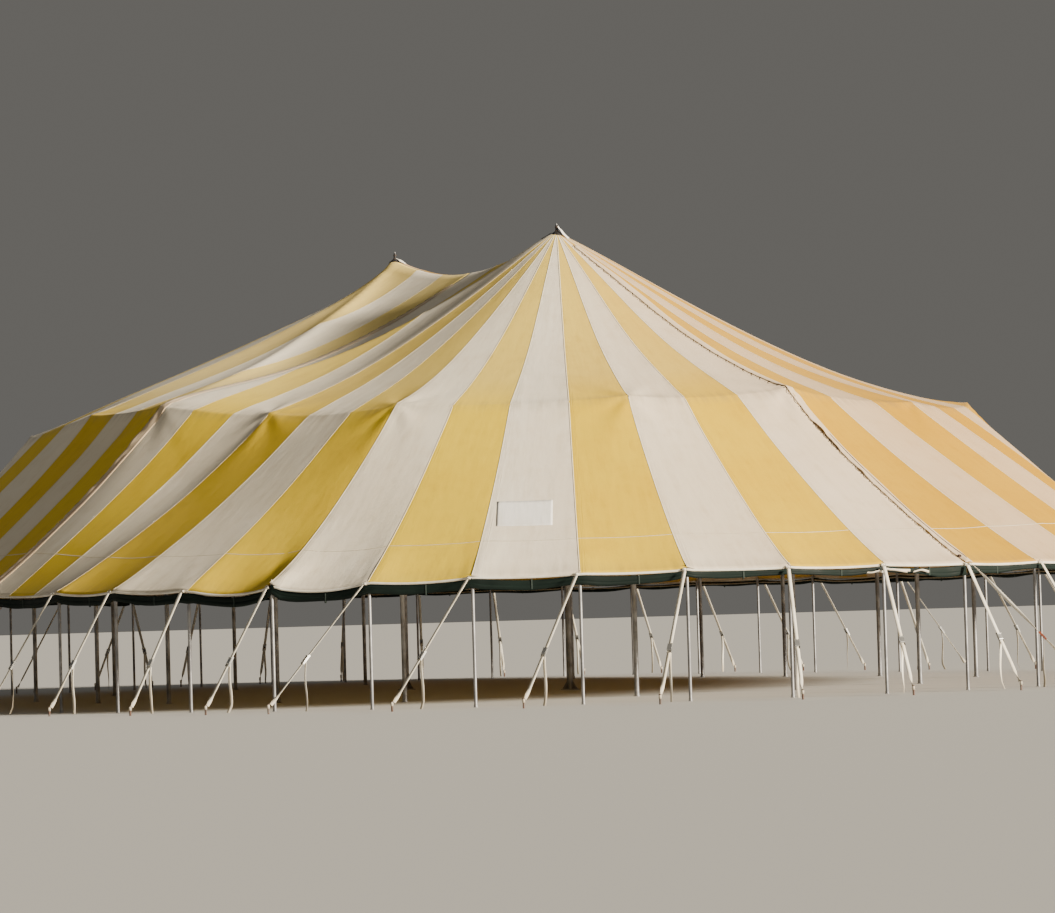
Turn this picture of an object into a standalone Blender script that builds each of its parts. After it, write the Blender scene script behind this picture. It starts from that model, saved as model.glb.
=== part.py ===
"""A round-ended pole marquee: two centre poles, a ring of quarter poles, a side pole at
each seam of the eave, a canopy laced together from four quarters, a rolled wall under
the eave and a ring of webbing guys on stakes.

Metres, +Z up. X runs along the ridge, the front end is at +X, and left is at -Y.
The origin is on the ground under the middle of the ridge.
"""

import math

import bmesh
import bpy
from mathutils import Vector
from mathutils.bvhtree import BVHTree

# Plan of the tent
RIDGE_LENGTH = 6.1  # between the two centre poles
EAVE_RADIUS = 12.25  # of each round end, at the side poles
END_GORES = 10  # in a quarter of a round end
MID_GORES = 3  # in half of the straight middle
LAST = END_GORES + MID_GORES

# Ring of quarter poles, at these seams of each quarter, from the apex to the mid lace
RING_SEAMS = (0, 3, 7, 10, 13)
RING_RADIUS = 7.3
RING_OUTSET = {
    ("front", "left"): (0, 0, 0, 0, 0.7),
    ("front", "right"): (0, 0.55, 1.6, 1.5, 1.3),
    ("back", "left"): (0, 0.5, 0.97, 0.63, 0.7),
    ("back", "right"): (0, 0.5, 1.3, 1.3, 1.3),
}
RING_LIFT = {
    ("front", "left"): (0.1, 0, 0, 0, 0.35),
    ("front", "right"): (0.1, -0.06, 0.1, 0.05, 0.35),
    ("back", "left"): (0.1, 0, 0.12, 0.35, 0.35),
    ("back", "right"): (0.1, 0, 0, 0, 0.35),
}
RING_SAG = {"left": 0.12, "right": 0.05}  # of the ring seam between two quarter poles
RING_CHORD = 0.5  # how far the ring seam runs straight, and not round, between them

# Heights of the top of the cloth
PEAK_HEIGHT = 9.65
RING_HEIGHT = 5.76
EAVE_HEIGHT = 2.35
RIDGE_SAG = 0.52  # of the ridge half way between the peaks
UPPER_SAG = {  # of a seam between the peak and the ring, at the quarter poles
    "left": (0.25, 0.25, 0.25, 0.25, 0.4),
    "right": (0.25, 0.35, 0.48, 0.48, 0.5),
}
LOWER_SAG = {  # of a seam between the ring and the eave, at the quarter poles
    "left": (0.2, 0.2, 0.2, 0.2, 0.2),
    "right": (0.2, 0.06, 0.02, 0.05, 0.1),
}
EAVE_SAG = 0.06  # of the eave between two side poles
EAVE_BOW = 0.08  # how far the eave curves in between two side poles

# Cloth
CLOTH = 0.03
PEAK_HOLE = 0.06  # radius of the hole that the pin of a centre pole passes
PEAK_FLAT = 0.11  # radius of the flat plate of cloth round it
UPPER_ROWS = (0.3, 0.65, 1.0)  # shares of the way from the peak to the ring
LOWER_ROWS = (0.45, 0.8, 1.0)  # shares of the way from the ring to the eave
LACE_TOP = 0.6  # reach at which the lacing starts, below the peak and the ridge
LACE_HALF_WIDTH = 0.02
LACE_RISE = 0.02
WALL_DROP = 0.25  # depth of the rolled wall below the eave
WALL_THICKNESS = 0.03

# Poles
SIDE_SEAMS = tuple(range(END_GORES + 1)) + (LAST,)
SIDE_POLE_RADIUS = 0.03
SIDE_POLE_SETBACK = 0.01  # between a side pole and the rolled wall
ROPE_RADIUS = 0.015
ROPE_DROP = 0.06  # of the bolt rope below the cloth at the eave
QUARTER_POLE_RADIUS = 0.045
CENTRE_POLE_RADIUS = 0.064
FOOT_RADIUS = 0.2
FOOT_THICKNESS = 0.03
COLLAR_RADIUS = 0.09
COLLAR_THICKNESS = 0.03
PIN_RADIUS = 0.02
PIN_ABOVE_CAP = 0.16
CAP_RADIUS = 0.105
CAP_THICKNESS = 0.1

# Guys
BAND_DEPTH = 0.06  # of the webbing band round the eave
BAND_THICKNESS = 0.012
STRAP_WIDTH = 0.05
STRAP_THICKNESS = 0.01
HOOK_OFFSET = 0.03  # from a seam to its guy, along the band
HOOK_WIDTH = 0.06
GUY_RING_LENGTH = 0.06
GUY_RUN = 1.5  # from the eave out to a stake
GUY_SKEW = {  # how far each stake stands towards the middle of the tent, by seam
    "left": (0.15, 0.4, 0.4, 0.8, 1.0, 1.15, 1.3, 0.45, 0, 0, 0, -0.6),
    "right": (1.4, 0, 0, 0, 0, 0, 0, 0, 0, 0, 0, -0.6),
}
STAKE_RADIUS = 0.02
STAKE_HEIGHT = 0.18
STRAP_ON_STAKE = 0.13  # height at which the strap is looped on its stake
RATCHET_AT = 0.62  # share of the way down the strap
RATCHET_SIZE = (0.16, 0.07, 0.06)
TAIL_WIDTH = 0.04
TAIL_END_HEIGHT = 0.02

CLEAR = 0.0003
RIM_STEPS = 32  # places on each side of a pole's rim at which the cloth above is felt
ENDS = {"front": 1, "back": -1}
SIDES = {"left": -1, "right": 1}
UP = Vector((0, 0, 1))


def between(u, stops):
    """The stops on both sides of u, as indices, and how far u is from the first to the second."""
    for i in range(len(stops) - 1):
        if u <= stops[i + 1]:
            return i, i + 1, (u - stops[i]) / (stops[i + 1] - stops[i])
    raise ValueError(u)


def bow(share):
    return 4 * share * (1 - share)


class Seam:
    """The vertical plane of a seam, at u gores from the apex of its end."""

    def __init__(self, end, side, u):
        self.end, self.side, self.u = end, side, u
        way, hand = ENDS[end], SIDES[side]
        self.angle = math.radians(90) * min(u / END_GORES, 1)
        self.out = Vector((way * math.cos(self.angle), hand * math.sin(self.angle), 0))
        if u >= END_GORES:
            self.out = Vector((0, hand, 0))
        self.aside = -self.out.cross(UP) * way * hand  # towards the mid lace
        self.share = 1 - max(u - END_GORES, 0) / MID_GORES  # 1 at the pole, 0 at the middle
        self.root = Vector((way * RIDGE_LENGTH / 2 * self.share, 0, 0))

    def at(self, reach, height):
        return self.root + self.out * reach + UP * height

    def top_height(self):
        past_plate = max(RIDGE_LENGTH / 2 * (1 - self.share) - PEAK_FLAT, 0)
        return PEAK_HEIGHT - RIDGE_SAG * bow(past_plate / (RIDGE_LENGTH - 2 * PEAK_FLAT))

    def top_reach(self):
        return PEAK_HOLE if self.u <= END_GORES else CLEAR / 2

    def along_ring(self, values):
        """A value given at each quarter pole, at this seam."""
        low, high, share = between(self.u, RING_SEAMS)
        return values[low] + (values[high] - values[low]) * share

    def ring_reach(self):
        outset = RING_OUTSET[self.end, self.side]
        low, high, share = between(self.u, RING_SEAMS)
        first, second = RING_RADIUS + outset[low], RING_RADIUS + outset[high]
        level = first + (second - first) * share
        if self.u > END_GORES:
            return level
        gore = math.radians(90) / END_GORES
        past, left = (self.u - RING_SEAMS[low]) * gore, (RING_SEAMS[high] - self.u) * gore
        chord = first * second * math.sin(past + left)
        chord /= first * math.sin(past) + second * math.sin(left)
        return level + (chord - level) * RING_CHORD

    def ring_height(self):
        share = between(self.u, RING_SEAMS)[2]
        lift = self.along_ring(RING_LIFT[self.end, self.side])
        return RING_HEIGHT + lift - RING_SAG[self.side] * bow(share)

    def eave_share(self):
        return bow(between(self.u, SIDE_SEAMS)[2])

    def eave_reach(self):
        return EAVE_RADIUS - EAVE_BOW * self.eave_share()

    def eave_height(self):
        return EAVE_HEIGHT - EAVE_SAG * self.eave_share()

    def cloth_rows(self):
        """Reach and height of the top of the cloth, from the ridge or the peak down to the eave."""
        top, ring, eave = self.top_height(), self.ring_height(), self.eave_height()
        rows = [(self.top_reach(), top), (PEAK_FLAT, top)]
        upper, lower = self.along_ring(UPPER_SAG[self.side]), self.along_ring(LOWER_SAG[self.side])
        lace_top = (LACE_TOP - PEAK_FLAT) / (self.ring_reach() - PEAK_FLAT)
        for share in (lace_top, *UPPER_ROWS):
            reach = PEAK_FLAT + (self.ring_reach() - PEAK_FLAT) * share
            rows.append((reach, top + (ring - top) * share - upper * bow(share)))
        for share in LOWER_ROWS:
            reach = self.ring_reach() + (self.eave_reach() - self.ring_reach()) * share
            rows.append((reach, ring + (eave - ring) * share - lower * bow(share)))
        return rows


def material(name, colour, roughness, metallic=0.0):
    made = bpy.data.materials.new(name)
    made.use_nodes = True
    shader = made.node_tree.nodes["Principled BSDF"]
    shader.inputs["Base Color"].default_value = (*colour, 1)
    shader.inputs["Roughness"].default_value = roughness
    shader.inputs["Metallic"].default_value = metallic
    return made


def new_object(name, mesh, *materials):
    made = bpy.data.objects.new(name, mesh)
    for one in materials:
        mesh.materials.append(one)
    bpy.context.scene.collection.objects.link(made)
    return made


def finished(name, work):
    """The bmesh as a mesh, with its faces pointing out."""
    bmesh.ops.recalc_face_normals(work, faces=work.faces[:])
    mesh = bpy.data.meshes.new(name)
    work.to_mesh(mesh)
    work.free()
    return mesh


def add_loft(work, sections, colours=None):
    """Skins closed loops of points one to the next and closes both ends, rung by rung."""
    loops = [[work.verts.new(point) for point in section] for section in sections]
    count = len(loops[0])
    for i in range(len(loops) - 1):
        for j in range(count):
            k = (j + 1) % count
            face = work.faces.new((loops[i][j], loops[i][k], loops[i + 1][k], loops[i + 1][j]))
            face.material_index = colours[i] if colours else 0
    for loop, order in ((loops[0], 1), (loops[-1], -1)):
        for j in range(count // 2 - 1):
            corners = (loop[j], loop[j + 1], loop[count - 2 - j], loop[count - 1 - j])
            work.faces.new(corners[::order])


def loft(name, sections, *materials, colours=None):
    work = bmesh.new()
    add_loft(work, sections, colours)
    return new_object(name, finished(name, work), *materials)


def turned(name, profile, centre, sides, finish):
    """A solid turned round a vertical axis from (radius, height) points, open ends closed."""
    work = bmesh.new()
    loops = []
    for step in range(sides):
        turn = 2 * math.pi * (step + 0.5) / sides
        way = Vector((math.cos(turn), math.sin(turn), 0))
        loops.append([work.verts.new(way * radius + UP * height) for radius, height in profile])
    closed = profile[0] == profile[-1]
    for step in range(sides):
        a, b = loops[step], loops[(step + 1) % sides]
        for j in range(len(profile) - 1):
            work.faces.new((a[j], b[j], b[j + 1], a[j + 1]))
    if closed:
        bmesh.ops.remove_doubles(work, verts=work.verts[:], dist=1e-6)
    else:
        work.faces.new([loop[0] for loop in loops][::-1])
        work.faces.new([loop[-1] for loop in loops])
    made = new_object(name, finished(name, work), finish)
    made.location = centre
    made.data.shade_smooth()
    made.data.set_sharp_from_angle(angle=math.radians(40))
    return made


def quarter_columns():
    """Every seam and every middle of a gore, from the apex to the mid lace, and the plate's edge."""
    plate = END_GORES + MID_GORES * PEAK_FLAT / (RIDGE_LENGTH / 2)
    return sorted([step / 2 for step in range(2 * LAST + 1)] + [plate])


def trimmed(loops, first, last):
    """Draws the first and last loops in along their skin, off the planes of the two laces."""
    start, second = loops[0], loops[1]
    finish, other = loops[-1], loops[-2]
    loops[0] = [p.lerp(q, gap / abs(q.y)) for p, q, gap in zip(start, second, first)]
    loops[-1] = [p.lerp(q, gap / abs(q.x)) for p, q, gap in zip(finish, other, last)]
    return loops


def eave_ribbon(end, side, section):
    """Sections of a strip along the eave. section gives (inset, drop) from the eave's top edge."""
    loops = []
    for u in quarter_columns():
        seam = Seam(end, side, u)
        reach, height = seam.eave_reach(), seam.eave_height()
        loops.append([seam.at(reach - inset, height - drop) for inset, drop in section])
    return loops


def canopy(end, side, white, yellow):
    sections = []
    for u in quarter_columns():
        seam = Seam(end, side, u)
        rows = seam.cloth_rows()
        top = [seam.at(reach, height) for reach, height in rows]
        sections.append(top + [point - UP * CLOTH for point in reversed(top)])
    closed, laced = [CLEAR / 2] * 2, [LACE_HALF_WIDTH + CLEAR] * (len(rows) - 2)
    edges = closed + laced + laced + closed
    trimmed(sections, edges, edges)
    starts_yellow = ENDS[end] * SIDES[side] > 0
    colours = [(int(u) + starts_yellow) % 2 for u in quarter_columns()]
    return loft(f"canopy_{end}_{side}", sections, white, yellow, colours=colours)


def lace(name, seam, finish):
    """The laced overlap on a seam, down to the eave."""
    rows = seam.cloth_rows()[2:]
    rows[-1] = (rows[-1][0] - LACE_HALF_WIDTH, rows[-1][1])
    profile = [seam.at(reach, height + LACE_RISE) for reach, height in rows]
    profile += [seam.at(reach, height - CLOTH) for reach, height in reversed(rows)]
    across = seam.out.cross(UP) * LACE_HALF_WIDTH
    return loft(name, [[p - across for p in profile], [p + across for p in profile]], finish)


def trees_of(objects):
    return [BVHTree.FromObject(each, bpy.context.evaluated_depsgraph_get()) for each in objects]


def pole_rim(seam, foot, radius):
    """The eight corners of a round pole, one flat facing the next pole along the tent."""
    turns = [math.radians(45) * (step + 0.5) for step in range(8)]
    return [foot + (seam.out * math.cos(turn) + seam.aside * math.sin(turn)) * radius
            for turn in turns]


def clear_height(trees, rim):
    """The height at which a flat top with this rim just fits under the cloth."""
    lowest = []
    for start, finish in zip(rim, rim[1:] + rim[:1]):
        for step in range(RIM_STEPS):
            point = start.lerp(finish, step / RIM_STEPS)
            hits = [tree.ray_cast(point, UP)[0] for tree in trees]
            lowest += [hit.z for hit in hits if hit]
    return min(lowest) - CLEAR


def add_loop(work, points):
    return [work.verts.new(point) for point in points]


def bridge(work, first, second, open_side=None):
    """Skins one loop to the next. open_side is the side that is left out, and its loop is returned."""
    count = len(first)
    for j in range(count):
        k = (j + 1) % count
        if j != open_side:
            work.faces.new((first[j], first[k], second[k], second[j]))
    if open_side is None:
        return None
    k = (open_side + 1) % count
    return [first[open_side], first[k], second[k], second[open_side]]


def cap(work, loop):
    for j in range(len(loop) // 2 - 1):
        work.faces.new((loop[j], loop[j + 1], loop[-2 - j], loop[-1 - j]))


def rectangle(centre, across, width, up, height):
    """Corners in the order upper start, upper end, lower end, lower start."""
    side, rise = across * (width / 2), up * (height / 2)
    return [centre - side + rise, centre + side + rise, centre + side - rise, centre - side - rise]


def owned_seams(end, side):
    """The side pole seams of a quarter. Each lace pole belongs to one of its two quarters."""
    has_apex = ENDS[end] * SIDES[side] < 0
    return SIDE_SEAMS[:-1] if has_apex else SIDE_SEAMS[1:]


def side_pole(work, seam, trees, rope_height):
    """One pole. It returns the two openings in its sides that the bolt rope runs into."""
    beside = SIDE_POLE_RADIUS * math.cos(math.radians(22.5)) + CLEAR / 2
    aside = {0: beside, LAST: -beside}.get(seam.u, 0)  # a lace pole stands beside its lace
    foot = seam.at(EAVE_RADIUS - side_pole_setback(), 0) + seam.aside * aside
    rim = pole_rim(seam, foot, SIDE_POLE_RADIUS)
    levels = (0, rope_height - ROPE_RADIUS, rope_height + ROPE_RADIUS, clear_height(trees, rim))
    bottom, low, high, top = (add_loop(work, [p + UP * level for p in rim]) for level in levels)
    bridge(work, bottom, low)
    bridge(work, high, top)
    cap(work, bottom)
    cap(work, top)
    open_sides = {5} if seam.u == LAST else {1} if seam.u == 0 else {1, 5}
    for j in set(range(8)) - open_sides:
        k = (j + 1) % 8
        work.faces.new((low[j], low[k], high[k], high[j]))
    near = [high[6], high[5], low[5], low[6]]
    far = [high[1], high[2], low[2], low[1]]
    return near, far


def side_pole_setback():
    return WALL_THICKNESS + SIDE_POLE_SETBACK + SIDE_POLE_RADIUS


def side_poles(end, side, trees, steel):
    """The side poles of a quarter on their bolt rope, which ends at the two laces."""
    half_width = SIDE_POLE_RADIUS * math.sin(math.radians(22.5))
    setback, middle = side_pole_setback(), CLOTH + ROPE_DROP
    low, high = middle + ROPE_RADIUS, middle - ROPE_RADIUS
    section = [(setback - half_width, high), (setback + half_width, high),
               (setback + half_width, low), (setback - half_width, low)]
    edges = [CLEAR / 2] * len(section)
    rope = trimmed(eave_ribbon(end, side, section), edges, edges)
    owned = owned_seams(end, side)
    work = bmesh.new()
    open_end = None
    for u, points in zip(quarter_columns(), rope):
        if u not in owned:
            loop = add_loop(work, points)
            near, far = loop, loop
        else:
            near, far = side_pole(work, Seam(end, side, u), trees, EAVE_HEIGHT - middle)
        if open_end:
            bridge(work, open_end, near)
        if u not in owned and u in (0, LAST):
            cap(work, loop)
        open_end = far
    new_object(f"side_poles_{end}_{side}", finished(f"side_poles_{end}_{side}", work), steel)


def add_guy(work, seam, hook, skew):
    """Ring, strap, ratchet, hanging tail and stake, grown from the four corners of the hook."""
    start = sum((corner.co for corner in hook), Vector()) / 4 + seam.out * GUY_RING_LENGTH
    foot = seam.at(EAVE_RADIUS + GUY_RUN, 0) + seam.aside * skew
    foot += seam.aside * (start - seam.at(0, 0)).dot(seam.aside)
    ahead = (foot - start) * Vector((1, 1, 0))
    ahead.normalize()
    across = ahead.cross(UP) * math.copysign(1, ahead.cross(UP).dot(seam.aside))
    finish = foot - ahead * STAKE_RADIUS + UP * STRAP_ON_STAKE
    along = (finish - start).normalized()
    up = across.cross(along) * math.copysign(1, across.cross(along).z)
    middle = start.lerp(finish, RATCHET_AT)
    length, width, thickness = RATCHET_SIZE

    def section(point, wide=STRAP_WIDTH, thick=STRAP_THICKNESS):
        return add_loop(work, rectangle(point, across, wide, up, thick))

    upper, lower = middle - along * length / 2, middle + along * length / 2
    strap = [section(start), section(upper)]
    body = [section(upper, width, thickness), section(lower, width, thickness)]
    strap_end = section(lower)
    bridge(work, hook, strap[0])
    bridge(work, *strap)
    bridge(work, strap[1], body[0])
    underside = bridge(work, *body, open_side=2)
    underside = [underside[1], underside[0], underside[3], underside[2]]
    bridge(work, body[1], strap_end)
    tail_heights = (middle.z - length, TAIL_END_HEIGHT)
    centres = [Vector((middle.x, middle.y, height)) for height in tail_heights]
    tail = [add_loop(work, rectangle(c, across, TAIL_WIDTH, -ahead, STRAP_THICKNESS))
            for c in centres]
    bridge(work, underside, tail[0])
    bridge(work, *tail)
    cap(work, tail[1])
    grip = STRAP_WIDTH / 4
    levels = (0, STRAP_ON_STAKE - grip, STRAP_ON_STAKE + grip, STAKE_HEIGHT)
    plan = rectangle(foot, across, 2 * STAKE_RADIUS, -ahead, 2 * STAKE_RADIUS)
    stake = [add_loop(work, [point + UP * level for point in plan]) for level in levels]
    bridge(work, stake[0], stake[1])
    grip_loop = bridge(work, stake[2], stake[1], open_side=0)
    bridge(work, stake[2], stake[3])
    cap(work, stake[0])
    cap(work, stake[3])
    bridge(work, strap_end, grip_loop)


def gore_width(u):
    return RIDGE_LENGTH / 2 / MID_GORES if u >= END_GORES else (
        EAVE_RADIUS * math.radians(90) / END_GORES)


def guys(end, side, finish):
    """The webbing band round the eave with its guys."""
    band = [(-CLEAR, 0), (-CLEAR - BAND_THICKNESS, 0),
            (-CLEAR - BAND_THICKNESS, BAND_DEPTH), (-CLEAR, BAND_DEPTH)]
    edges = [CLEAR / 2] * len(band)
    loops = trimmed(eave_ribbon(end, side, band), edges, edges)
    columns = quarter_columns()
    hooks = {}
    for u, skew in zip(SIDE_SEAMS, GUY_SKEW[side]):
        reach = [offset / gore_width(u) for offset in (HOOK_OFFSET, HOOK_OFFSET + HOOK_WIDTH)]
        start = LAST - reach[1] if u == LAST else u + reach[0]
        hooks[start] = (skew, start + reach[1] - reach[0])
    stations = sorted(set(columns) | set(hooks) | {finish for _, finish in hooks.values()})
    work = bmesh.new()
    made = []
    for u in stations:
        low, high, share = between(u, columns)
        made.append(add_loop(work, [a.lerp(b, share) for a, b in zip(loops[low], loops[high])]))
    outer = 1
    for u, first, second in zip(stations, made, made[1:]):
        hook = bridge(work, first, second, open_side=outer if u in hooks else None)
        if hook:
            corners = [hook[0], hook[3], hook[2], hook[1]]
            skew, last = hooks[u]
            add_guy(work, Seam(end, side, (u + last) / 2), corners, skew)
    cap(work, made[0])
    cap(work, made[-1])
    new_object(f"guys_{end}_{side}", finished(f"guys_{end}_{side}", work), finish)


def centre_pole(end, timber):
    under = PEAK_HEIGHT - CLOTH - CLEAR
    tip = PEAK_HEIGHT + CLEAR + CAP_THICKNESS + PIN_ABOVE_CAP
    profile = [(FOOT_RADIUS, 0), (FOOT_RADIUS, FOOT_THICKNESS),
               (CENTRE_POLE_RADIUS, FOOT_THICKNESS),
               (CENTRE_POLE_RADIUS, under - COLLAR_THICKNESS),
               (COLLAR_RADIUS, under - COLLAR_THICKNESS), (COLLAR_RADIUS, under),
               (PIN_RADIUS, under), (PIN_RADIUS, tip - PIN_RADIUS), (PIN_RADIUS / 4, tip)]
    centre = Vector((ENDS[end] * RIDGE_LENGTH / 2, 0, 0))
    turned(f"centre_pole_{end}", profile, centre, 12, timber)


def peak_cap(end, finish):
    low, high = PEAK_HEIGHT + CLEAR, PEAK_HEIGHT + CLEAR + CAP_THICKNESS
    hole = PIN_RADIUS + CLEAR
    profile = [(hole, low), (CAP_RADIUS, low), (CAP_RADIUS, high - CAP_THICKNESS / 3),
               (CAP_RADIUS / 2, high), (hole, high), (hole, low)]
    centre = Vector((ENDS[end] * RIDGE_LENGTH / 2, 0, 0))
    turned(f"peak_cap_{end}", profile, centre, 12, finish)


def quarter_pole(name, seam, trees, finish):
    rim = pole_rim(seam, seam.at(seam.ring_reach(), 0), QUARTER_POLE_RADIUS)
    height = clear_height(trees, rim)
    loft(name, [rim, [point + UP * height for point in rim]], finish)


def quarter_poles(trees, finish):
    for end in ENDS:
        quarter_pole(f"quarter_pole_{end}_apex", Seam(end, "left", 0), trees, finish)
        for side in SIDES:
            for number, u in enumerate(RING_SEAMS[1:-1], 1):
                name = f"quarter_pole_{end}_{side}_{number}"
                quarter_pole(name, Seam(end, side, u), trees, finish)
    for side in SIDES:
        quarter_pole(f"quarter_pole_{side}_middle", Seam("front", side, LAST), trees, finish)


def build():
    white = material("white canvas", (0.78, 0.72, 0.62), 0.75)
    yellow = material("yellow canvas", (0.80, 0.50, 0.07), 0.75)
    green = material("green wall canvas", (0.01, 0.06, 0.04), 0.8)
    cord = material("lace line", (0.70, 0.65, 0.55), 0.9)
    webbing = material("cream webbing", (0.72, 0.68, 0.58), 0.8)
    steel = material("grey pole", (0.35, 0.35, 0.36), 0.45, 0.7)
    dark = material("dark cap", (0.05, 0.05, 0.05), 0.6)

    quarters = [(end, side) for end in ENDS for side in SIDES]
    cloth = [canopy(end, side, white, yellow) for end, side in quarters]
    for end in ENDS:
        cloth.append(lace(f"lace_{end}", Seam(end, "left", 0), cord))
    for side in SIDES:
        cloth.append(lace(f"lace_{side}", Seam("front", side, LAST), cord))
    bpy.context.view_layer.update()
    trees = trees_of(cloth)

    top = CLOTH + CLEAR
    section = [(0, top), (0, top + WALL_DROP), (WALL_THICKNESS, top + WALL_DROP),
               (WALL_THICKNESS, top)]
    edges = [CLEAR / 2] * len(section)
    for end, side in quarters:
        loops = trimmed(eave_ribbon(end, side, section), edges, edges)
        loft(f"rolled_wall_{end}_{side}", loops, green)
        side_poles(end, side, trees, steel)
        guys(end, side, webbing)
    for end in ENDS:
        centre_pole(end, steel)
        peak_cap(end, dark)
    quarter_poles(trees, steel)


for old in list(bpy.data.objects):
    bpy.data.objects.remove(old, do_unlink=True)
build()
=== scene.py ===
# %% [markdown]
# # A laced pole marquee
# A canvas tent of this kind hangs from two centre poles. A ring of quarter poles lifts the
# cloth half way down, a side pole stands at each seam of the eave, and webbing guys on
# stakes pull the eave out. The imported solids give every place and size; this lesson gives
# them cloth, seams, lacing, rope and steel. Metres, +Z up, the ridge along X.

# %% Load the frame
import math

import bmesh
import bpy
import numpy as np
from mathutils import Matrix, Vector


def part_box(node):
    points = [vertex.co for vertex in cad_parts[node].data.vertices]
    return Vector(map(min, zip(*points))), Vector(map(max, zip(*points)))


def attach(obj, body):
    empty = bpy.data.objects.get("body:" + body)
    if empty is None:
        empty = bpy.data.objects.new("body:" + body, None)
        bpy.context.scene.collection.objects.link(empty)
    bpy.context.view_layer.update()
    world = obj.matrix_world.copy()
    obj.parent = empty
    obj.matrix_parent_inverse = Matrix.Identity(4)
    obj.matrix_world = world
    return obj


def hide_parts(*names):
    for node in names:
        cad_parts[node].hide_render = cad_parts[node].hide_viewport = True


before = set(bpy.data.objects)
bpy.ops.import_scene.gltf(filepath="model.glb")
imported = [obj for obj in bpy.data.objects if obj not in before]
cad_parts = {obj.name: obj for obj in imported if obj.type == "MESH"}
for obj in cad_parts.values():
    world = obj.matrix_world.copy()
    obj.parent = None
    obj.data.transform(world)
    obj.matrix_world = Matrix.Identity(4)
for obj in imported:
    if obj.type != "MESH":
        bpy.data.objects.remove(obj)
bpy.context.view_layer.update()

# %% [markdown]
# ## Camera
# The camera stands about 75 m away at eye height with a long lens, so the tent's round end
# looks flat and wide. Its place is given from the foot of the near centre pole, as a
# distance and a bearing, because that is how one would pace it out.

# %% Camera
PICTURE_WIDTH = 1055
FOCAL_PIXELS = 3552.1
CAMERA_DISTANCE = 75.24  # from the near centre pole
CAMERA_BEARING = math.radians(-37.083)
CAMERA_YAW = math.radians(0.577)  # from looking straight at that pole
CAMERA_PITCH = math.radians(2.544)
CAMERA_ROLL = math.radians(-1.652)
EYE_HEIGHT = 1.621
UP = Vector((0, 0, 1))
UPRIGHT = np.array(UP)


def middle(node):
    low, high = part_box(node)
    return (low + high) / 2


HALF_RIDGE = middle("centre_pole_front").x
heading = CAMERA_BEARING + CAMERA_YAW
forward = Vector((-math.cos(heading) * math.cos(CAMERA_PITCH),
                  -math.sin(heading) * math.cos(CAMERA_PITCH), math.sin(CAMERA_PITCH)))
level_right = forward.cross(UP).normalized()
level_up = level_right.cross(forward)
right = level_right * math.cos(CAMERA_ROLL) + level_up * math.sin(CAMERA_ROLL)
above = level_up * math.cos(CAMERA_ROLL) - level_right * math.sin(CAMERA_ROLL)
camera = bpy.data.objects.new("camera", bpy.data.cameras.new("camera"))
camera.data.sensor_width = 36
camera.data.lens = camera.data.sensor_width * FOCAL_PIXELS / PICTURE_WIDTH
camera.data.clip_end = 2000
camera.matrix_world = Matrix.Translation((
    HALF_RIDGE + CAMERA_DISTANCE * math.cos(CAMERA_BEARING),
    CAMERA_DISTANCE * math.sin(CAMERA_BEARING), EYE_HEIGHT,
)) @ Matrix((right, above, -forward)).transposed().to_4x4()
bpy.context.scene.collection.objects.link(camera)
bpy.context.scene.camera = camera
print(f"lens {camera.data.lens:.1f} mm at {tuple(round(x, 1) for x in camera.location)}")

# %% [markdown]
# ## Two small helpers for node trees
# Shaders and Geometry Nodes are both written as Python sums here. A `Wire` is one output
# socket: adding, multiplying or comparing wires adds Math nodes. A `Board` is one node tree
# with a single method that adds any other node.

# %% Wires and boards


class Wire:
    """An output socket of a node. Arithmetic on it adds Math nodes to its board."""

    def __init__(self, board, socket):
        self.board, self.socket = board, socket

    def output(self, name):
        return Wire(self.board, self.socket.node.outputs[name])

    def math(self, operation, *values):
        return self.board.node("ShaderNodeMath", {"operation": operation}, dict(enumerate(values)))

    def sine(self):
        return self.math("SINE", self)

    def unsigned(self):
        return self.math("ABSOLUTE", self)

    def __add__(self, other):
        return self.math("ADD", self, other)

    def __sub__(self, other):
        return self.math("SUBTRACT", self, other)

    def __rsub__(self, other):
        return self.math("SUBTRACT", other, self)

    def __mul__(self, other):
        return self.math("MULTIPLY", self, other)

    def __lt__(self, other):
        return self.math("LESS_THAN", self, other)

    def __gt__(self, other):
        return self.math("GREATER_THAN", self, other)

    __radd__, __rmul__ = __add__, __mul__


class Board:
    """A node tree. settings are a node's own properties, values go to its input sockets."""

    def __init__(self, tree):
        self.tree = tree

    def node(self, kind, settings=None, values=None, output=0):
        made = self.tree.nodes.new(kind)
        for name, value in (settings or {}).items():
            if name == "stops":
                ramp_stops(made.color_ramp.elements, value)
            else:
                setattr(made, name, value)
        for name, value in (values or {}).items():
            socket = made.inputs[name]
            if isinstance(value, Wire):
                self.tree.links.new(value.socket, socket)
            else:
                socket.default_value = value
        return Wire(self, made.outputs[output]) if made.outputs else made


def ramp_stops(elements, stops):
    """The first two stops move the ramp's own, and the others are added."""
    for i, (position, colour) in enumerate(stops):
        stop = elements[i] if i < 2 else elements.new(position)
        stop.position, stop.color = position, (*colour, 1)


print("boards ready")

# %% [markdown]
# ## Floor and light
# The floor is plain and pale and is no part of the tent. One low sun, from the right and in
# front, gives the soft shades along the seams, and a dim even sky fills them.

# %% Floor and light
SUN_WAY = Vector((0.87, 0.40, 0.27))  # towards the light: low, from the right and in front
SUN_COLOUR = (1.0, 0.89, 0.72)
SUN_STRENGTH = 12.0
SUN_SOFTNESS = math.radians(9)
SKY = (0.135, 0.13, 0.12)
FLOOR_RADIUS = 900
FLOOR_COLOUR = (0.50, 0.50, 0.49)


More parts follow.
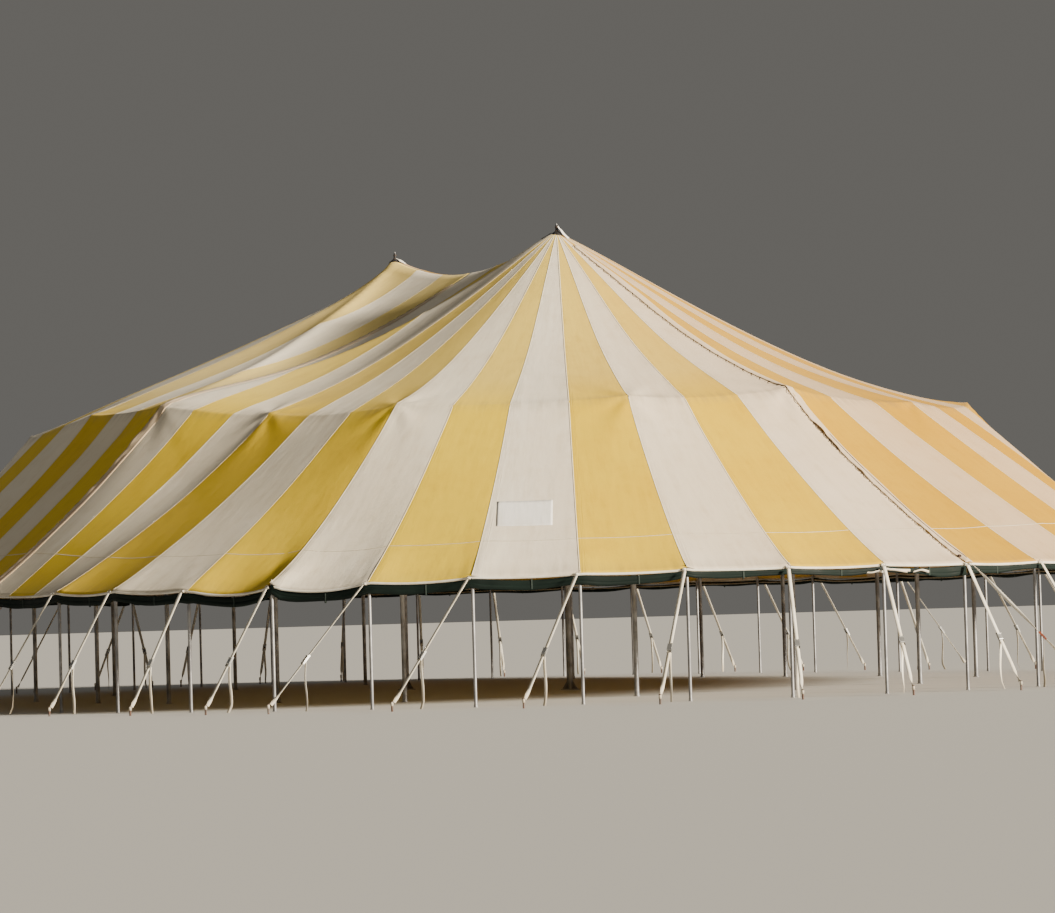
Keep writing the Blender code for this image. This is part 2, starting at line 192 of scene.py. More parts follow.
def plain_material(name, colour, roughness):
    made = bpy.data.materials.new(name)
    made.use_nodes = True
    shader = made.node_tree.nodes["Principled BSDF"]
    shader.inputs["Base Color"].default_value = (*colour, 1)
    shader.inputs["Roughness"].default_value = roughness
    return made


bpy.ops.mesh.primitive_circle_add(vertices=96, radius=FLOOR_RADIUS, fill_type="NGON")
floor = bpy.context.object
floor.name = "studio_floor"
floor.data.materials.append(plain_material("pale floor", FLOOR_COLOUR, 0.9))

world = bpy.data.worlds.new("studio")
world.use_nodes = True
world.node_tree.nodes["Background"].inputs["Color"].default_value = (*SKY, 1)
bpy.context.scene.world = world

sun = bpy.data.objects.new("soft key", bpy.data.lights.new("soft key", "SUN"))
sun.data.energy = SUN_STRENGTH
sun.data.angle = SUN_SOFTNESS
sun.data.color = SUN_COLOUR
sun.rotation_euler = SUN_WAY.to_track_quat("Z", "Y").to_euler()
bpy.context.scene.collection.objects.link(sun)
print("floor, sky and one soft key light")

# %% [markdown]
# ## The shape of the cloth
# Each seam hangs as a shallow curve from the peak to the ring and again from the ring to the
# eave. `Quarter.at(u, s)` gives that surface: u counts gores from the apex of the round end
# to the mid lace, and s runs 0 to 1 from the peak to the ring and 1 to 2 from there to the
# eave. Below 0 it runs over the flat plate to the pin or the ridge. The places of the poles
# are read from the frame, so the cloth follows them.

# %% Plan of the tent
ENDS = {"front": 1, "back": -1}
SIDES = {"left": -1, "right": 1}
QUARTERS = [(end, side) for end in ENDS for side in SIDES]
END_GORES, MID_GORES = 10, 3
LAST = END_GORES + MID_GORES
GORE_ANGLE = math.radians(90) / END_GORES
RING_SEAMS = (0, 3, 7, 10, LAST)
SIDE_SEAMS = (*range(END_GORES + 1), LAST)
PEAK_FLAT = 0.11  # radius of the flat plate of cloth round a pin
PEAK_HOLE = 0.06
CLOTH = 0.03  # of the solids that stand for the cloth
PEAK_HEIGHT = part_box("canopy_front_left")[1].z
EAVE_RADIUS = -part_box("canopy_front_left")[0].y
EAVE_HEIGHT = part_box("guys_front_left")[1].z
UPPER_SAG = {  # of a seam from the peak to the ring, at each quarter pole of a quarter
    ("front", "left"): (0.26, 0.28, 0.29, 0.32, 0.42),
    ("front", "right"): (0.26, 0.39, 0.52, 0.52, 0.55),
    ("back", "left"): (0.26, 0.31, 0.31, 0.32, 0.42),
    ("back", "right"): (0.26, 0.39, 0.52, 0.52, 0.55),
}
SAG_LEAN = {  # above 1 the lowest place is nearer to the ring, below 1 to the peak
    ("front", "left"): (1.3, 1.3, 1.3, 1.2, 1.0),
    ("front", "right"): (1.3, 1.3, 1.3, 1.3, 1.3),
    ("back", "left"): (1.3, 0.5, 0.45, 0.6, 1.0),
    ("back", "right"): (1.3, 1.3, 1.3, 1.3, 1.3),
}
LOWER_SAG = {"left": (0.2, 0.2, 0.2, 0.2, 0.2), "right": (0.2, 0.04, 0, 0.05, 0.1)}
RIDGE_SAG = 0.52
RING_SAG = 0.05
RING_CHORD = 0.35  # how far the ring seam runs straight between its poles
RING_FADE = 3  # how soon the round cloth above and below the ring forgets both
EAVE_SAG = {  # between two side poles, for each gore from the apex and for the middle gores
    "left": (0.02, 0.02, 0.02, 0.02, 0.03, 0.05, 0.11, 0.11, 0.05, 0.05, 0.06),
    "right": (0.02,) * 10 + (0.06,),
}
EAVE_DROP = {  # of the eave at each side pole, which hangs lower towards the left
    "left": (0, 0, 0, 0, 0.01, 0.03, 0.06, 0.09, 0.09, 0.07, 0.05, 0.02),
    "right": (0,) * 12,
}
EAVE_BOW = 0.08
EAVE_FADE = 4  # how soon the cloth above the eave forgets that it droops between the poles
BELLY = 0.006  # how far a gore hangs below its two seams, for each metre of its width
BELLY_ENDS = 1.75, 2.0  # the falls between which the belly fades out, just above the eave


def bow(share):
    return 4 * share * (1 - share)


def share_between(u, stops):
    """How far each u is from the stop below it to the next one."""
    stops = np.array(stops, float)
    low = np.clip(np.searchsorted(stops, u, side="right") - 1, 0, len(stops) - 2)
    return (u - stops[low]) / (stops[low + 1] - stops[low])


def through(u, stops, values):
    """A smooth curve that passes through a value at each stop."""
    stops, values = np.array(stops, float), np.array(values, float)
    slopes = np.zeros(len(stops))
    slopes[1:-1] = (values[2:] - values[:-2]) / (stops[2:] - stops[:-2])
    low = np.clip(np.searchsorted(stops, u, side="right") - 1, 0, len(stops) - 2)
    run = stops[low + 1] - stops[low]
    t = (u - stops[low]) / run
    ends = values[low] + (values[low + 1] - values[low]) * t * t * (3 - 2 * t)
    return ends + t * (1 - t) * run * (slopes[low] * (1 - t) - slopes[low + 1] * t)


def ring_poles(end, side):
    """Middle of each quarter pole of a quarter, from the apex to the mid lace."""
    names = [f"quarter_pole_{end}_apex"]
    names += [f"quarter_pole_{end}_{side}_{number}" for number in (1, 2, 3)]
    return [middle(name) for name in (*names, f"quarter_pole_{side}_middle")]


def solid_cloth_height(end, side, spot):
    """The top of the solid canopy over a spot in plan, felt just off the laces."""
    off_laces = Vector((ENDS[end], SIDES[side], 0)) * CLOTH
    start = Vector((spot.x, spot.y, 2 * PEAK_HEIGHT)) + off_laces
    hit, place, _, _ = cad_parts[f"canopy_{end}_{side}"].ray_cast(start, -UP)
    return place.z if hit else None


for end, side in QUARTERS:
    tops = [solid_cloth_height(end, side, spot) for spot in ring_poles(end, side)]
    print(end, side, "ring heights", [round(top, 2) for top in tops])

# %% A quarter's seams and its smooth surface


class Quarter:
    """One laced quarter of the canopy as a surface over (u, s)."""

    def __init__(self, end, side):
        self.end, self.side = end, side
        self.way, self.hand = ENDS[end], SIDES[side]
        poles = ring_poles(end, side)
        foot = [(self.way * HALF_RIDGE * self.ridge_share(u), 0) for u in RING_SEAMS]
        self.reaches = [math.hypot(pole.x - x, pole.y - y) for pole, (x, y) in zip(poles, foot)]
        self.heights = [solid_cloth_height(end, side, pole) for pole in poles]

    @staticmethod
    def ridge_share(u):
        """1 at the centre pole's gores, falling to 0 at the mid lace."""
        return 1 - np.maximum(np.asarray(u, float) - END_GORES, 0) / MID_GORES

    def ways(self, u):
        """Where each seam's vertical plane starts on the ridge, and the way that it runs out."""
        angle = GORE_ANGLE * np.minimum(u, END_GORES)
        out = np.stack([self.way * np.cos(angle), self.hand * np.sin(angle)], -1)
        root = self.way * HALF_RIDGE * self.ridge_share(u)
        return np.stack([root, 0 * root], -1), out

    def level_way(self, u):
        """The way out at each seam, as a level vector."""
        _, out = self.ways(u)
        return np.concatenate([out, 0 * out[..., :1]], -1)

    def ring_reach(self, u):
        """The reach of the ring seam, and how much further a straight seam would reach."""
        level = through(u, RING_SEAMS, self.reaches)
        low = np.clip(np.searchsorted(RING_SEAMS, u, side="right") - 1, 0, len(RING_SEAMS) - 2)
        stops, reaches = np.array(RING_SEAMS), np.array(self.reaches)
        first, second = reaches[low], reaches[low + 1]
        past, left = (u - stops[low]) * GORE_ANGLE, (stops[low + 1] - u) * GORE_ANGLE
        chord = first * second * np.sin(past + left)
        chord /= first * np.sin(past) + second * np.sin(left)
        return level, np.where(u < END_GORES, (chord - level) * RING_CHORD, 0)

    def smooth(self, u, s):
        """The cloth without its folds, as points."""
        u, s = np.broadcast_arrays(np.asarray(u, float), np.asarray(s, float))
        root, out = self.ways(u)
        past_pole = HALF_RIDGE * (1 - self.ridge_share(u))
        ridge = np.maximum(past_pole - PEAK_FLAT, 0)
        hole = PEAK_HOLE * np.maximum(1 - past_pole / PEAK_FLAT, 0)
        top = PEAK_HEIGHT - RIDGE_SAG * bow(ridge / (2 * (HALF_RIDGE - PEAK_FLAT)))
        level = through(u, RING_SEAMS, self.heights)
        slack = RING_SAG * bow(share_between(u, RING_SEAMS))
        ring_out, further = self.ring_reach(u)
        upper = through(u, RING_SEAMS, UPPER_SAG[self.end, self.side])
        lower = through(u, RING_SEAMS, LOWER_SAG[self.side])
        lean = through(u, RING_SEAMS, SAG_LEAN[self.end, self.side])
        eave_share = bow(share_between(u, SIDE_SEAMS))
        sags = np.array(EAVE_SAG[self.side])[np.clip(u, 0, END_GORES).astype(int)]
        q, p = np.clip(s, 0, 1), np.clip(s - 1, 0, 1)
        near_eave = eave_share * p ** EAVE_FADE
        eave = EAVE_HEIGHT - through(u, SIDE_SEAMS, EAVE_DROP[self.side])
        hollow = upper * np.sin(math.pi * q ** lean)
        near_ring = (q * (1 - p)) ** RING_FADE
        upper_height = top + (level - top) * q - slack * near_ring - hollow
        lower_height = level + (eave - level) * p - slack * near_ring - lower * bow(p) - sags * near_eave
        reach = PEAK_FLAT + (ring_out - PEAK_FLAT) * q + (EAVE_RADIUS - ring_out) * p
        reach = reach + further * near_ring - EAVE_BOW * near_eave + (PEAK_FLAT - hole) * np.minimum(s, 0)
        height = np.where(s <= 1, upper_height, lower_height)
        return np.concatenate([root + out * reach[..., None], height[..., None]], -1)

    def normal(self, u, s):
        step = 1e-3
        across = self.smooth(u + step, s) - self.smooth(u - step, s)
        down = self.smooth(u, s + step) - self.smooth(u, s - step)
        normal = np.cross(across, down)
        normal /= np.maximum(np.linalg.norm(normal, axis=-1, keepdims=True), 1e-9)
        return np.where(normal[..., 2:] < 0, -normal, normal)

    def at(self, u, s, lift=0.0):
        """The cloth's outer face with its folds, or a point lifted off it."""
        u, s = np.broadcast_arrays(np.asarray(u, float), np.asarray(s, float))
        place = self.smooth(u, s)
        hang = BELLY * self.gore_width(u, s) * bow(u % 1) * np.interp(s, BELLY_ENDS, (1, 0))
        off = (lift - hang + folds(place))[..., None]
        return place + self.normal(u, s) * off + tips(place)

    def gore_width(self, u, s):
        """How wide a gore is there, in metres."""
        step = 0.01
        ahead, back = self.smooth(u + step, s), self.smooth(u - step, s)
        return np.linalg.norm(ahead - back, axis=-1) / (2 * step)


SURFACES = {quarter: Quarter(*quarter) for quarter in QUARTERS}

# %% [markdown]
# ## Folds
# Folds follow from what pulls on the cloth, so they are worked out from places in plan and
# not for each quarter: a quarter pole pushes up a small peak with creases running off it, a
# side pole and its guy draw a fan of creases into the eave, and the loose cloth between two
# side poles droops. Two quarters then agree where they are laced.

# %% Folds of the cloth
TIP_RISE = 0.11  # of the small peak over a quarter pole
LOW_TIP_RISE = {"left": 0.05, "right": 0.02}
LOW_TIPS = {("front", "right", 1), *((end, "left", number) for end in ENDS for number in (1, 2, 3, 4))}
TIP_REACH = 0.42
TIP_CREASES = 6  # that run off each small peak
TIP_CREASE = 0.022
TIP_CREASE_START, TIP_CREASE_REACH = 0.3, 0.8
EAVE_CREASE = 0.03
EAVE_CREASE_REACH, EAVE_FAN_WIDTH = 0.75, 0.7
EAVE_CREASE_WIDTH, EAVE_CREASE_SPREAD = 0.05, 0.1
PULL_RISE = 0.2  # of the tight fold from each peak to the quarter pole in the mid lace
PULL_WIDTHS = (0.17, 0.07)  # of its slopes, for each metre from the peak: to the round end, to the lace
PULL_START_WIDTH = 0.15
SLACK = 0.012  # of the long low waves in the whole canopy
draw = np.random.default_rng(12)


def ring_tips():
    """Each quarter pole's place in plan and how far it lifts the cloth into a peak."""
    spots = {}
    for end, side in QUARTERS:
        for number, pole in enumerate(ring_poles(end, side)):
            rise = LOW_TIP_RISE[side] if (end, side, number) in LOW_TIPS else TIP_RISE
            spots[round(pole.x, 2), round(pole.y, 2)] = rise
    return np.array([(*spot, rise) for spot, rise in spots.items()])


def eave_stations():
    """Where the seams meet the eave, each with its way out."""
    rows = {}
    for end, side in QUARTERS:
        root, out = SURFACES[end, side].ways(np.array(SIDE_SEAMS, float))
        for (x, y), (a, b) in zip(root + out * EAVE_RADIUS, out):
            rows.setdefault((round(x, 3), round(y, 3)), (a, b))
    return np.array([(*spot, *way) for spot, way in rows.items()])


TIPS = ring_tips()
TIP_TURNS = draw.uniform(0, 2 * math.pi, len(TIPS))
STATIONS = eave_stations()
STATION_LEANS = draw.uniform(-0.5, 0.5, (len(STATIONS), 3))
STATION_LOOSENESS = draw.uniform(0.15, 0.8, len(STATIONS))
LOOSE_SPOT = np.array([8.6, -10.9])  # at the left, where one side pole holds the cloth high
LOOSE_SPOT_PULL = 2.2


def tips(place):
    """The small peaks over the quarter poles, as a rise."""
    rise = np.zeros(place.shape[:-1])
    for x, y, lift in TIPS:
        away = np.linalg.norm(place[..., :2] - (x, y), axis=-1)
        rise = rise + lift * np.exp(-away / TIP_REACH)
    return np.stack([0 * rise, 0 * rise, rise], -1)


def pulls(x, y):
    """The tight folds that run from each peak to the quarter poles of the mid lace."""
    off = 0 * x
    for side in SIDES:
        pole = middle(f"quarter_pole_{side}_middle")
        length = math.hypot(HALF_RIDGE, pole.y)
        for way in ENDS.values():
            along_x, along_y = -way * HALF_RIDGE / length, pole.y / length
            ahead = (x - way * HALF_RIDGE) * along_x + y * along_y
            aside = ((x - way * HALF_RIDGE) * along_y - y * along_x) * way * np.sign(pole.y)
            share = np.clip(ahead / length, 0, 1)
            width = PULL_START_WIDTH + np.where(aside > 0, *PULL_WIDTHS) * share * length
            off = off + PULL_RISE * bow(share) ** 0.7 * np.exp(-np.abs(aside) / width)
    return off


def folds(place):
    """How far the cloth stands off its smooth shape, along its normal."""
    x, y = place[..., 0], place[..., 1]
    off = SLACK * np.sin(0.9 * x + 0.6 * y) * np.sin(0.7 * x - 1.1 * y + 1) + pulls(x, y)
    for spot, turn in zip(TIPS, TIP_TURNS):
        ahead, aside = x - spot[0], y - spot[1]
        away = np.hypot(ahead, aside)
        fan = np.cos(TIP_CREASES * np.arctan2(aside, ahead) + turn)
        fan = fan * np.clip(away / TIP_CREASE_START, 0, 1)
        off = off + TIP_CREASE * fan * np.exp(-away / TIP_CREASE_REACH)
    for (sx, sy, ox, oy), leans, loose in zip(STATIONS, STATION_LEANS, STATION_LOOSENESS):
        inward = (sx - x) * ox + (sy - y) * oy
        aside = (x - sx) * -oy + (y - sy) * ox
        near = np.exp(-np.abs(inward) / EAVE_CREASE_REACH) * np.exp(-(aside / EAVE_FAN_WIDTH) ** 2)
        strong = loose + LOOSE_SPOT_PULL * math.exp(-np.sum((LOOSE_SPOT - (sx, sy)) ** 2))
        wide = EAVE_CREASE_WIDTH + EAVE_CREASE_SPREAD * np.abs(inward)
        for lean in leans:
            ridge = np.exp(-((aside - lean * inward) / wide) ** 2)
            off = off + EAVE_CREASE * strong * near * ridge * math.copysign(1, lean)
    return off


corner = SURFACES["front", "left"].at(0, 2)
print(len(TIPS), "quarter poles,", len(STATIONS), "eave stations, apex eave at", corner.round(2))

# %% [markdown]
# ## Trees for what follows a path or repeats
# Three Geometry Nodes trees serve the whole tent. The ribbon tree turns guide edges into flat
# tape or webbing, and keeps how far along and across the ribbon each point is, which the
# stitches of its material need. The strand tree turns them into round cord. The scatter tree
# puts a copy of a small fitting on every guide point. The guides are plain meshes whose
# attributes carry the directions.

# %% Ribbon, strand and scatter trees
STRAND_SIDES = 6


def new_tree(name, sizes):
    """A geometry tree with a material input and one input for each named size."""
    tree = bpy.data.node_groups.new(name, "GeometryNodeTree")
    sockets = [("Guide", "Geometry"), *sizes.items(), ("Material", "Material")]
    for label, kind in sockets:
        tree.interface.new_socket(label, in_out="INPUT", socket_type=f"NodeSocket{kind}")
    tree.interface.new_socket("Made", in_out="OUTPUT", socket_type="NodeSocketGeometry")
    board = Board(tree)
    return tree, board, board.node("NodeGroupInput")


def close_tree(board, inputs, made):
    made = board.node("GeometryNodeRealizeInstances", values={"Geometry": made})
    values = {"Geometry": made, "Material": inputs.output("Material")}
    made = board.node("GeometryNodeSetMaterial", values=values)
    board.node("NodeGroupOutput", values={"Made": made})


def named(board, attribute, kind="FLOAT_VECTOR"):
    settings = {"data_type": kind}
    return board.node("GeometryNodeInputNamedAttribute", settings, {"Name": attribute})


def stored(board, geometry, attribute, value):
    values = {"Geometry": geometry, "Name": attribute, "Value": value}
    return board.node("GeometryNodeStoreNamedAttribute", {"data_type": "FLOAT"}, values)


def ribbon_tree():
    tree, board, inputs = new_tree("ribbon", {"Width": "Float", "Thickness": "Float"})
    path = board.node("GeometryNodeMeshToCurve", values={"Mesh": inputs.output("Guide")})
    values = {"Curve": path, "Normal": named(board, "across")}
    path = board.node("GeometryNodeSetCurveNormal", {"mode": "FREE"}, values)
    length = board.node("GeometryNodeSplineParameter").output("Length")
    path = stored(board, path, "along", length)
    size = {"Width": inputs.output("Width"), "Height": inputs.output("Thickness")}
    profile = board.node("GeometryNodeCurvePrimitiveQuadrilateral", values=size)
    place = board.node("ShaderNodeSeparateXYZ", values={0: board.node("GeometryNodeInputPosition")})
    profile = stored(board, profile, "beside", place)
    values = {"Curve": path, "Profile Curve": profile, "Fill Caps": True}
    close_tree(board, inputs, board.node("GeometryNodeCurveToMesh", values=values))
    return tree


def strand_tree():
    tree, board, inputs = new_tree("strand", {"Radius": "Float"})
    path = board.node("GeometryNodeMeshToCurve", values={"Mesh": inputs.output("Guide")})
    values = {"Resolution": STRAND_SIDES, "Radius": inputs.output("Radius")}
    profile = board.node("GeometryNodeCurvePrimitiveCircle", values=values)
    values = {"Curve": path, "Profile Curve": profile, "Fill Caps": True}
    close_tree(board, inputs, board.node("GeometryNodeCurveToMesh", values=values))
    return tree


def scatter_tree():
    tree, board, inputs = new_tree("scatter", {"Fitting": "Object", "Scale": "Float"})
    fitting = board.node("GeometryNodeObjectInfo", values={0: inputs.output("Fitting")})
    upright = {"Rotation": board.node("FunctionNodeAlignRotationToVector", {"axis": "Z"},
                                      {"Vector": named(board, "up")}),
               "Vector": named(board, "ahead")}
    turn = board.node("FunctionNodeAlignRotationToVector", {"axis": "X", "pivot_axis": "Z"}, upright)
    values = {"Points": inputs.output("Guide"), "Instance": fitting.output("Geometry"),
              "Rotation": turn, "Scale": inputs.output("Scale")}
    close_tree(board, inputs, board.node("GeometryNodeInstanceOnPoints", values=values))
    return tree


RIBBON, STRAND, SCATTER = ribbon_tree(), strand_tree(), scatter_tree()


def new_piece(name, mesh):
    made = bpy.data.objects.new(name, mesh)
    bpy.context.scene.collection.objects.link(made)
    return made


def grown(name, guide, tree, finish, **inputs):
    """Runs a tree on a guide mesh and keeps the result as a plain mesh object."""
    raw = new_piece(f"{name}_guide", guide)
    modifier = raw.modifiers.new("grow", "NODES")
    modifier.node_group = tree
    inputs["Material"] = finish
    for socket in tree.interface.items_tree:
        if socket.in_out == "INPUT" and socket.name in inputs:
            modifier[socket.identifier] = inputs[socket.name]
    bpy.context.view_layer.update()
    mesh = bpy.data.meshes.new_from_object(raw.evaluated_get(bpy.context.evaluated_depsgraph_get()))
    bpy.data.objects.remove(raw, do_unlink=True)
    mesh.name = name
    return mesh


print("trees", [tree.name for tree in (RIBBON, STRAND, SCATTER)])

# %% Guides and pieces


def guide_mesh(paths, **attributes):
    """Edges through each path's points, or single points, with vector attributes."""
    points, edges = [], []
    for path in paths:
        first = len(points)
        points += [tuple(point) for point in path]
        edges += [(first + i, first + i + 1) for i in range(len(path) - 1)]
    mesh = bpy.data.meshes.new("guide")
    mesh.from_pydata(points, edges, [])
    for name, rows in attributes.items():
        flat = np.concatenate([np.asarray(row, float).reshape(-1, 3) for row in rows])
        layer = mesh.attributes.new(name, "FLOAT_VECTOR", "POINT")
        layer.data.foreach_set("vector", flat.astype(np.float32).ravel())
    return mesh


def ribbons(name, paths, ways, finish, width, thickness):
    """Flat ribbons along some paths, with the way across them at each point."""
    guide = guide_mesh(paths, across=ways)
    return grown(name, guide, RIBBON, finish, Width=width, Thickness=thickness)


def cords(name, paths, finish, radius):
    """Round cords along some paths."""
    return grown(name, guide_mesh(paths), STRAND, finish, Radius=radius)


def joined(name, meshes):
    """One piece from several meshes. Each keeps its own material and attributes."""
    parts = [new_piece(mesh.name, mesh) for mesh in meshes]
    with bpy.context.temp_override(active_object=parts[0], object=parts[0],
                                   selected_objects=parts, selected_editable_objects=parts):
        bpy.ops.object.join()
    parts[0].name = parts[0].data.name = name
    return parts[0]


def dress(piece, slot, *replaced):
    """Everything rides on the one body, and the solids that the piece replaces are hidden."""
    if replaced:
        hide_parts(*replaced)
    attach(piece, "root")
    return piece


def outward(mesh, merge=False):
    """Winds every face to point outwards. merge first joins the points that meet."""
    work = bmesh.new()
    work.from_mesh(mesh)
    if merge:
        bmesh.ops.remove_doubles(work, verts=work.verts[:], dist=1e-5)
    bmesh.ops.recalc_face_normals(work, faces=work.faces[:])
    work.to_mesh(mesh)
    work.free()
    return mesh


def thick(piece, thickness, offset=0.0):
    """Gives a sheet its thickness."""
    cloth = piece.modifiers.new("cloth", "SOLIDIFY")
    cloth.thickness, cloth.offset = thickness, offset
    return piece


print("guide and piece helpers ready")

# %% [markdown]
# ## Canvas
# The real cloth is coated cotton canvas: matt, faintly cockled, a little blotchy from damp,
# with streaks that run down the fall, and grimier at the eave and where poles rub. The
# shader reads the cloth's own UV map, which is in metres, so streaks follow each gore, and
# attributes that say how far a point is from a seam, from the eave and from the ring.

# %% Shader helpers


def shader_board(name):
    made = bpy.data.materials.new(name)
    made.use_nodes = True
    board = Board(made.node_tree)
    return made, board, made.node_tree.nodes["Principled BSDF"]


def noise(board, place, scale, detail=3.0, rough=0.5):
    values = {"Vector": place, "Scale": scale, "Detail": detail, "Roughness": rough}
    return board.node("ShaderNodeTexNoise", values=values)


def stretched(board, place, x, y, z=1.0):
    """Coordinates scaled by axis, for patterns that are longer one way."""
    return board.node("ShaderNodeMapping", values={"Vector": place, "Scale": (x, y, z)})


def ease(board, value, low, high, at_low=0.0, at_high=1.0):
    """Runs smoothly from at_low to at_high while value runs from low to high."""
    values = {"Value": value, "From Min": low, "From Max": high, "To Min": at_low, "To Max": at_high}
    return board.node("ShaderNodeMapRange", {"interpolation_type": "SMOOTHSTEP"}, values)


def attribute(board, name):
    return board.node("ShaderNodeAttribute", {"attribute_name": name}).output("Fac")


def tinted(board, factor, base, tint, blend="MIX"):
    base, tint = [(*c, 1) if isinstance(c, tuple) else c for c in (base, tint)]
    mix = board.node("ShaderNodeMix", {"data_type": "RGBA", "blend_type": blend})
    node = mix.socket.node
    for index, value in ((0, factor), (6, base), (7, tint)):
        if isinstance(value, Wire):
            board.tree.links.new(value.socket, node.inputs[index])
        else:
            node.inputs[index].default_value = value
    return Wire(board, node.outputs[2])


def finish_shader(board, shader, colour, roughness, height=None, distance=0.01, strength=1.0):
    """Wires up what changes over the surface."""
    for name, value in (("Base Color", colour), ("Roughness", roughness)):
        if isinstance(value, Wire):
            board.tree.links.new(value.socket, shader.inputs[name])
        else:
            shader.inputs[name].default_value = (*value, 1) if isinstance(value, tuple) else value
    if height is not None:
        values = {"Height": height, "Distance": distance, "Strength": strength}
        bump = board.node("ShaderNodeBump", values=values)
        board.tree.links.new(bump.socket, shader.inputs["Normal"])


print("shader helpers ready")

# %% White and yellow canvas
GRIME = (0.20, 0.165, 0.115)
DAMP = (0.76, 0.70, 0.58)
PAINTED_SIDE_SHADE = (0.67, 0.51, 0.36)  # painted shade: darkens and warms the right side and the gores near the apex
WEAVE = 420.0  # threads in a metre, coarse on purpose so that close views still show it
CANVAS_SHEEN = 0.06
CANVAS_GLOSS = 0.2


def weave(board, cloth):
    """Waves across and along the threads, as one height."""
    split = board.node("ShaderNodeSeparateXYZ", values={0: cloth})
    turns = 2 * math.pi * WEAVE
    return (split.output("X") * turns).sine() + (split.output("Y") * turns).sine()


def canvas(name, colour, faded, pale):
    """Coated canvas. faded is the colour of its sun-bleached patches, pale that of the upper cone."""
    made, board, shader = shader_board(name)
    place = board.node("ShaderNodeTexCoord").output("Object")
    cloth = board.node("ShaderNodeUVMap", {"uv_map": "cloth"})
    blotch = noise(board, place, 0.45, 6.0, 0.62)
    cloud = noise(board, place, 2.6, 5.0, 0.6)
    speck = noise(board, place, 38.0, 4.0, 0.7)
    streak = noise(board, stretched(board, cloth, 7.0, 0.28), 1.0, 5.0, 0.6)
    tone = attribute(board, "tone")
    from_seam, above_eave = attribute(board, "from_seam"), attribute(board, "above_eave")
    from_ring = attribute(board, "from_ring")
    bleached = tinted(board, ease(board, blotch + (tone - 0.5) * 0.3, 0.35, 0.75), colour, faded)
    paled = tinted(board, attribute(board, "bleach"), bleached, pale)
    damp = ease(board, cloud * 0.6 + streak * 0.5, 0.5, 0.8, 0, 0.4)
    toned = tinted(board, damp, paled, DAMP, "MULTIPLY")
    edge = ease(board, above_eave, 0.02, 0.55, 1, 0) * ease(board, streak, 0.3, 0.7, 0.15, 0.6)
    # painted shade: darker and warmer cloth on the right side and near the apex
    toned = tinted(board, attribute(board, "tan"), toned, PAINTED_SIDE_SHADE, "MULTIPLY")
    seam = ease(board, from_seam, 0.02, 0.12, 0.1, 0) * ease(board, cloud, 0.3, 0.7)
    rub = ease(board, from_ring, 0.0, 0.35, 0.3, 0) * ease(board, streak, 0.35, 0.7, 0.1, 1)
    dirt = edge * 0.4 + seam + rub + ease(board, speck, 0.62, 0.8, 0, 0.22)
    soiled = tinted(board, dirt, toned, GRIME)
    rough = ease(board, blotch, 0.3, 0.7, 0.62, 0.82)
    cockle = noise(board, stretched(board, cloth, 3.0, 0.8), 1.6, 3.0, 0.5)
    height = cockle * 0.9 + weave(board, cloth) * 0.012 + speck * 0.03
    finish_shader(board, shader, soiled, rough, height, 0.018, 0.5)
    shader.inputs["Sheen Weight"].default_value = CANVAS_SHEEN
    shader.inputs["Specular IOR Level"].default_value = CANVAS_GLOSS
    shader.inputs["Sheen Roughness"].default_value = 0.5
    return made


WHITE = canvas("white canvas", (0.88, 0.79, 0.62), (0.91, 0.84, 0.70), (0.92, 0.85, 0.70))
YELLOW = canvas("yellow canvas", (0.82, 0.55, 0.006), (0.85, 0.60, 0.012), (0.88, 0.72, 0.33))
print("materials", WHITE.name, "and", YELLOW.name)

# %% [markdown]
# ## The canopy
# Each quarter is one sheet sewn from thirteen tapered gores, by turns white and yellow. The
# mesh is a grid over the surface from above, finer where the ring's small peaks bend it, and
# a Solidify modifier gives it the thickness of cloth inwards. A cloth simulation is the
# other way, but it gives looser folds than a tent under tension has.

# %% Canopy quarters
GORE_COLUMNS = 12
UPPER_ROWS, LOWER_ROWS = 58, 62
ROW_BIAS = 1.25  # packs the rows towards the ring
CANVAS_THICKNESS = 0.003
PAINTED_SIDE_SHADE_BY_GORE = {"left": ((0, 5), (0.6, 0)), "right": ((0, 3), (0.85, 1.0))}  # strength of the painted shade on each side, by gores from the apex
UPPER_CONE_PALING = {  # how much paler each quarter's upper cone is made
    ("front", "left"): 0.3, ("front", "right"): 0.2, ("back", "left"): 0.6, ("back", "right"): 0.3,
}
UPPER_CONE_PALING_ENDS = (0.8, 1.04)  # the fall along which the upper cone's paling stops
LACE_TOP = 0.6  # reach at which the lacing starts
LACE_GAP = 0.02
LACE_GAP_START = 0.4  # from the top of the lacing to where the gap is full
LACE_GAP_REACH = 0.15
GORE_SPACING = 3  # between the gores in the UV map, so that no two share their streaks


def grid_rows():
    upper = 1 - (1 - np.linspace(0, 1, UPPER_ROWS + 1)) ** ROW_BIAS
    lower = 1 + np.linspace(0, 1, LOWER_ROWS + 1)[1:] ** ROW_BIAS
    return np.concatenate([[-1, -0.5], upper, lower])


def open_laces(place, end, side):
    """Draws the cloth back from the two laces, below where the lacing starts."""
    reach = np.linalg.norm(place[..., :2] - np.array([ENDS[end] * HALF_RIDGE, 0]), axis=-1)
    for axis, hand, out in ((0, ENDS[end], np.abs(place[..., 1])), (1, SIDES[side], reach)):
        gap = LACE_GAP * np.clip((out - LACE_TOP) / LACE_GAP_START, 0, 1)
        place[..., axis] += hand * gap * np.exp(-np.abs(place[..., axis]) / LACE_GAP_REACH)
    return place


def grid_faces(rows, columns):
    """Quads over a grid of points that is stored row by row."""
    corner = (np.arange(rows - 1)[:, None] * columns + np.arange(columns - 1)).ravel()
    return np.stack([corner, corner + 1, corner + columns + 1, corner + columns], -1)


def points_facing_up(points):
    """Whether the grid's faces point up as they are wound."""
    low, high = points[len(points) // 2, :2], points[len(points) // 2 + 1, :2]
    return np.cross(low[1] - low[0], high[0] - low[0])[2] > 0


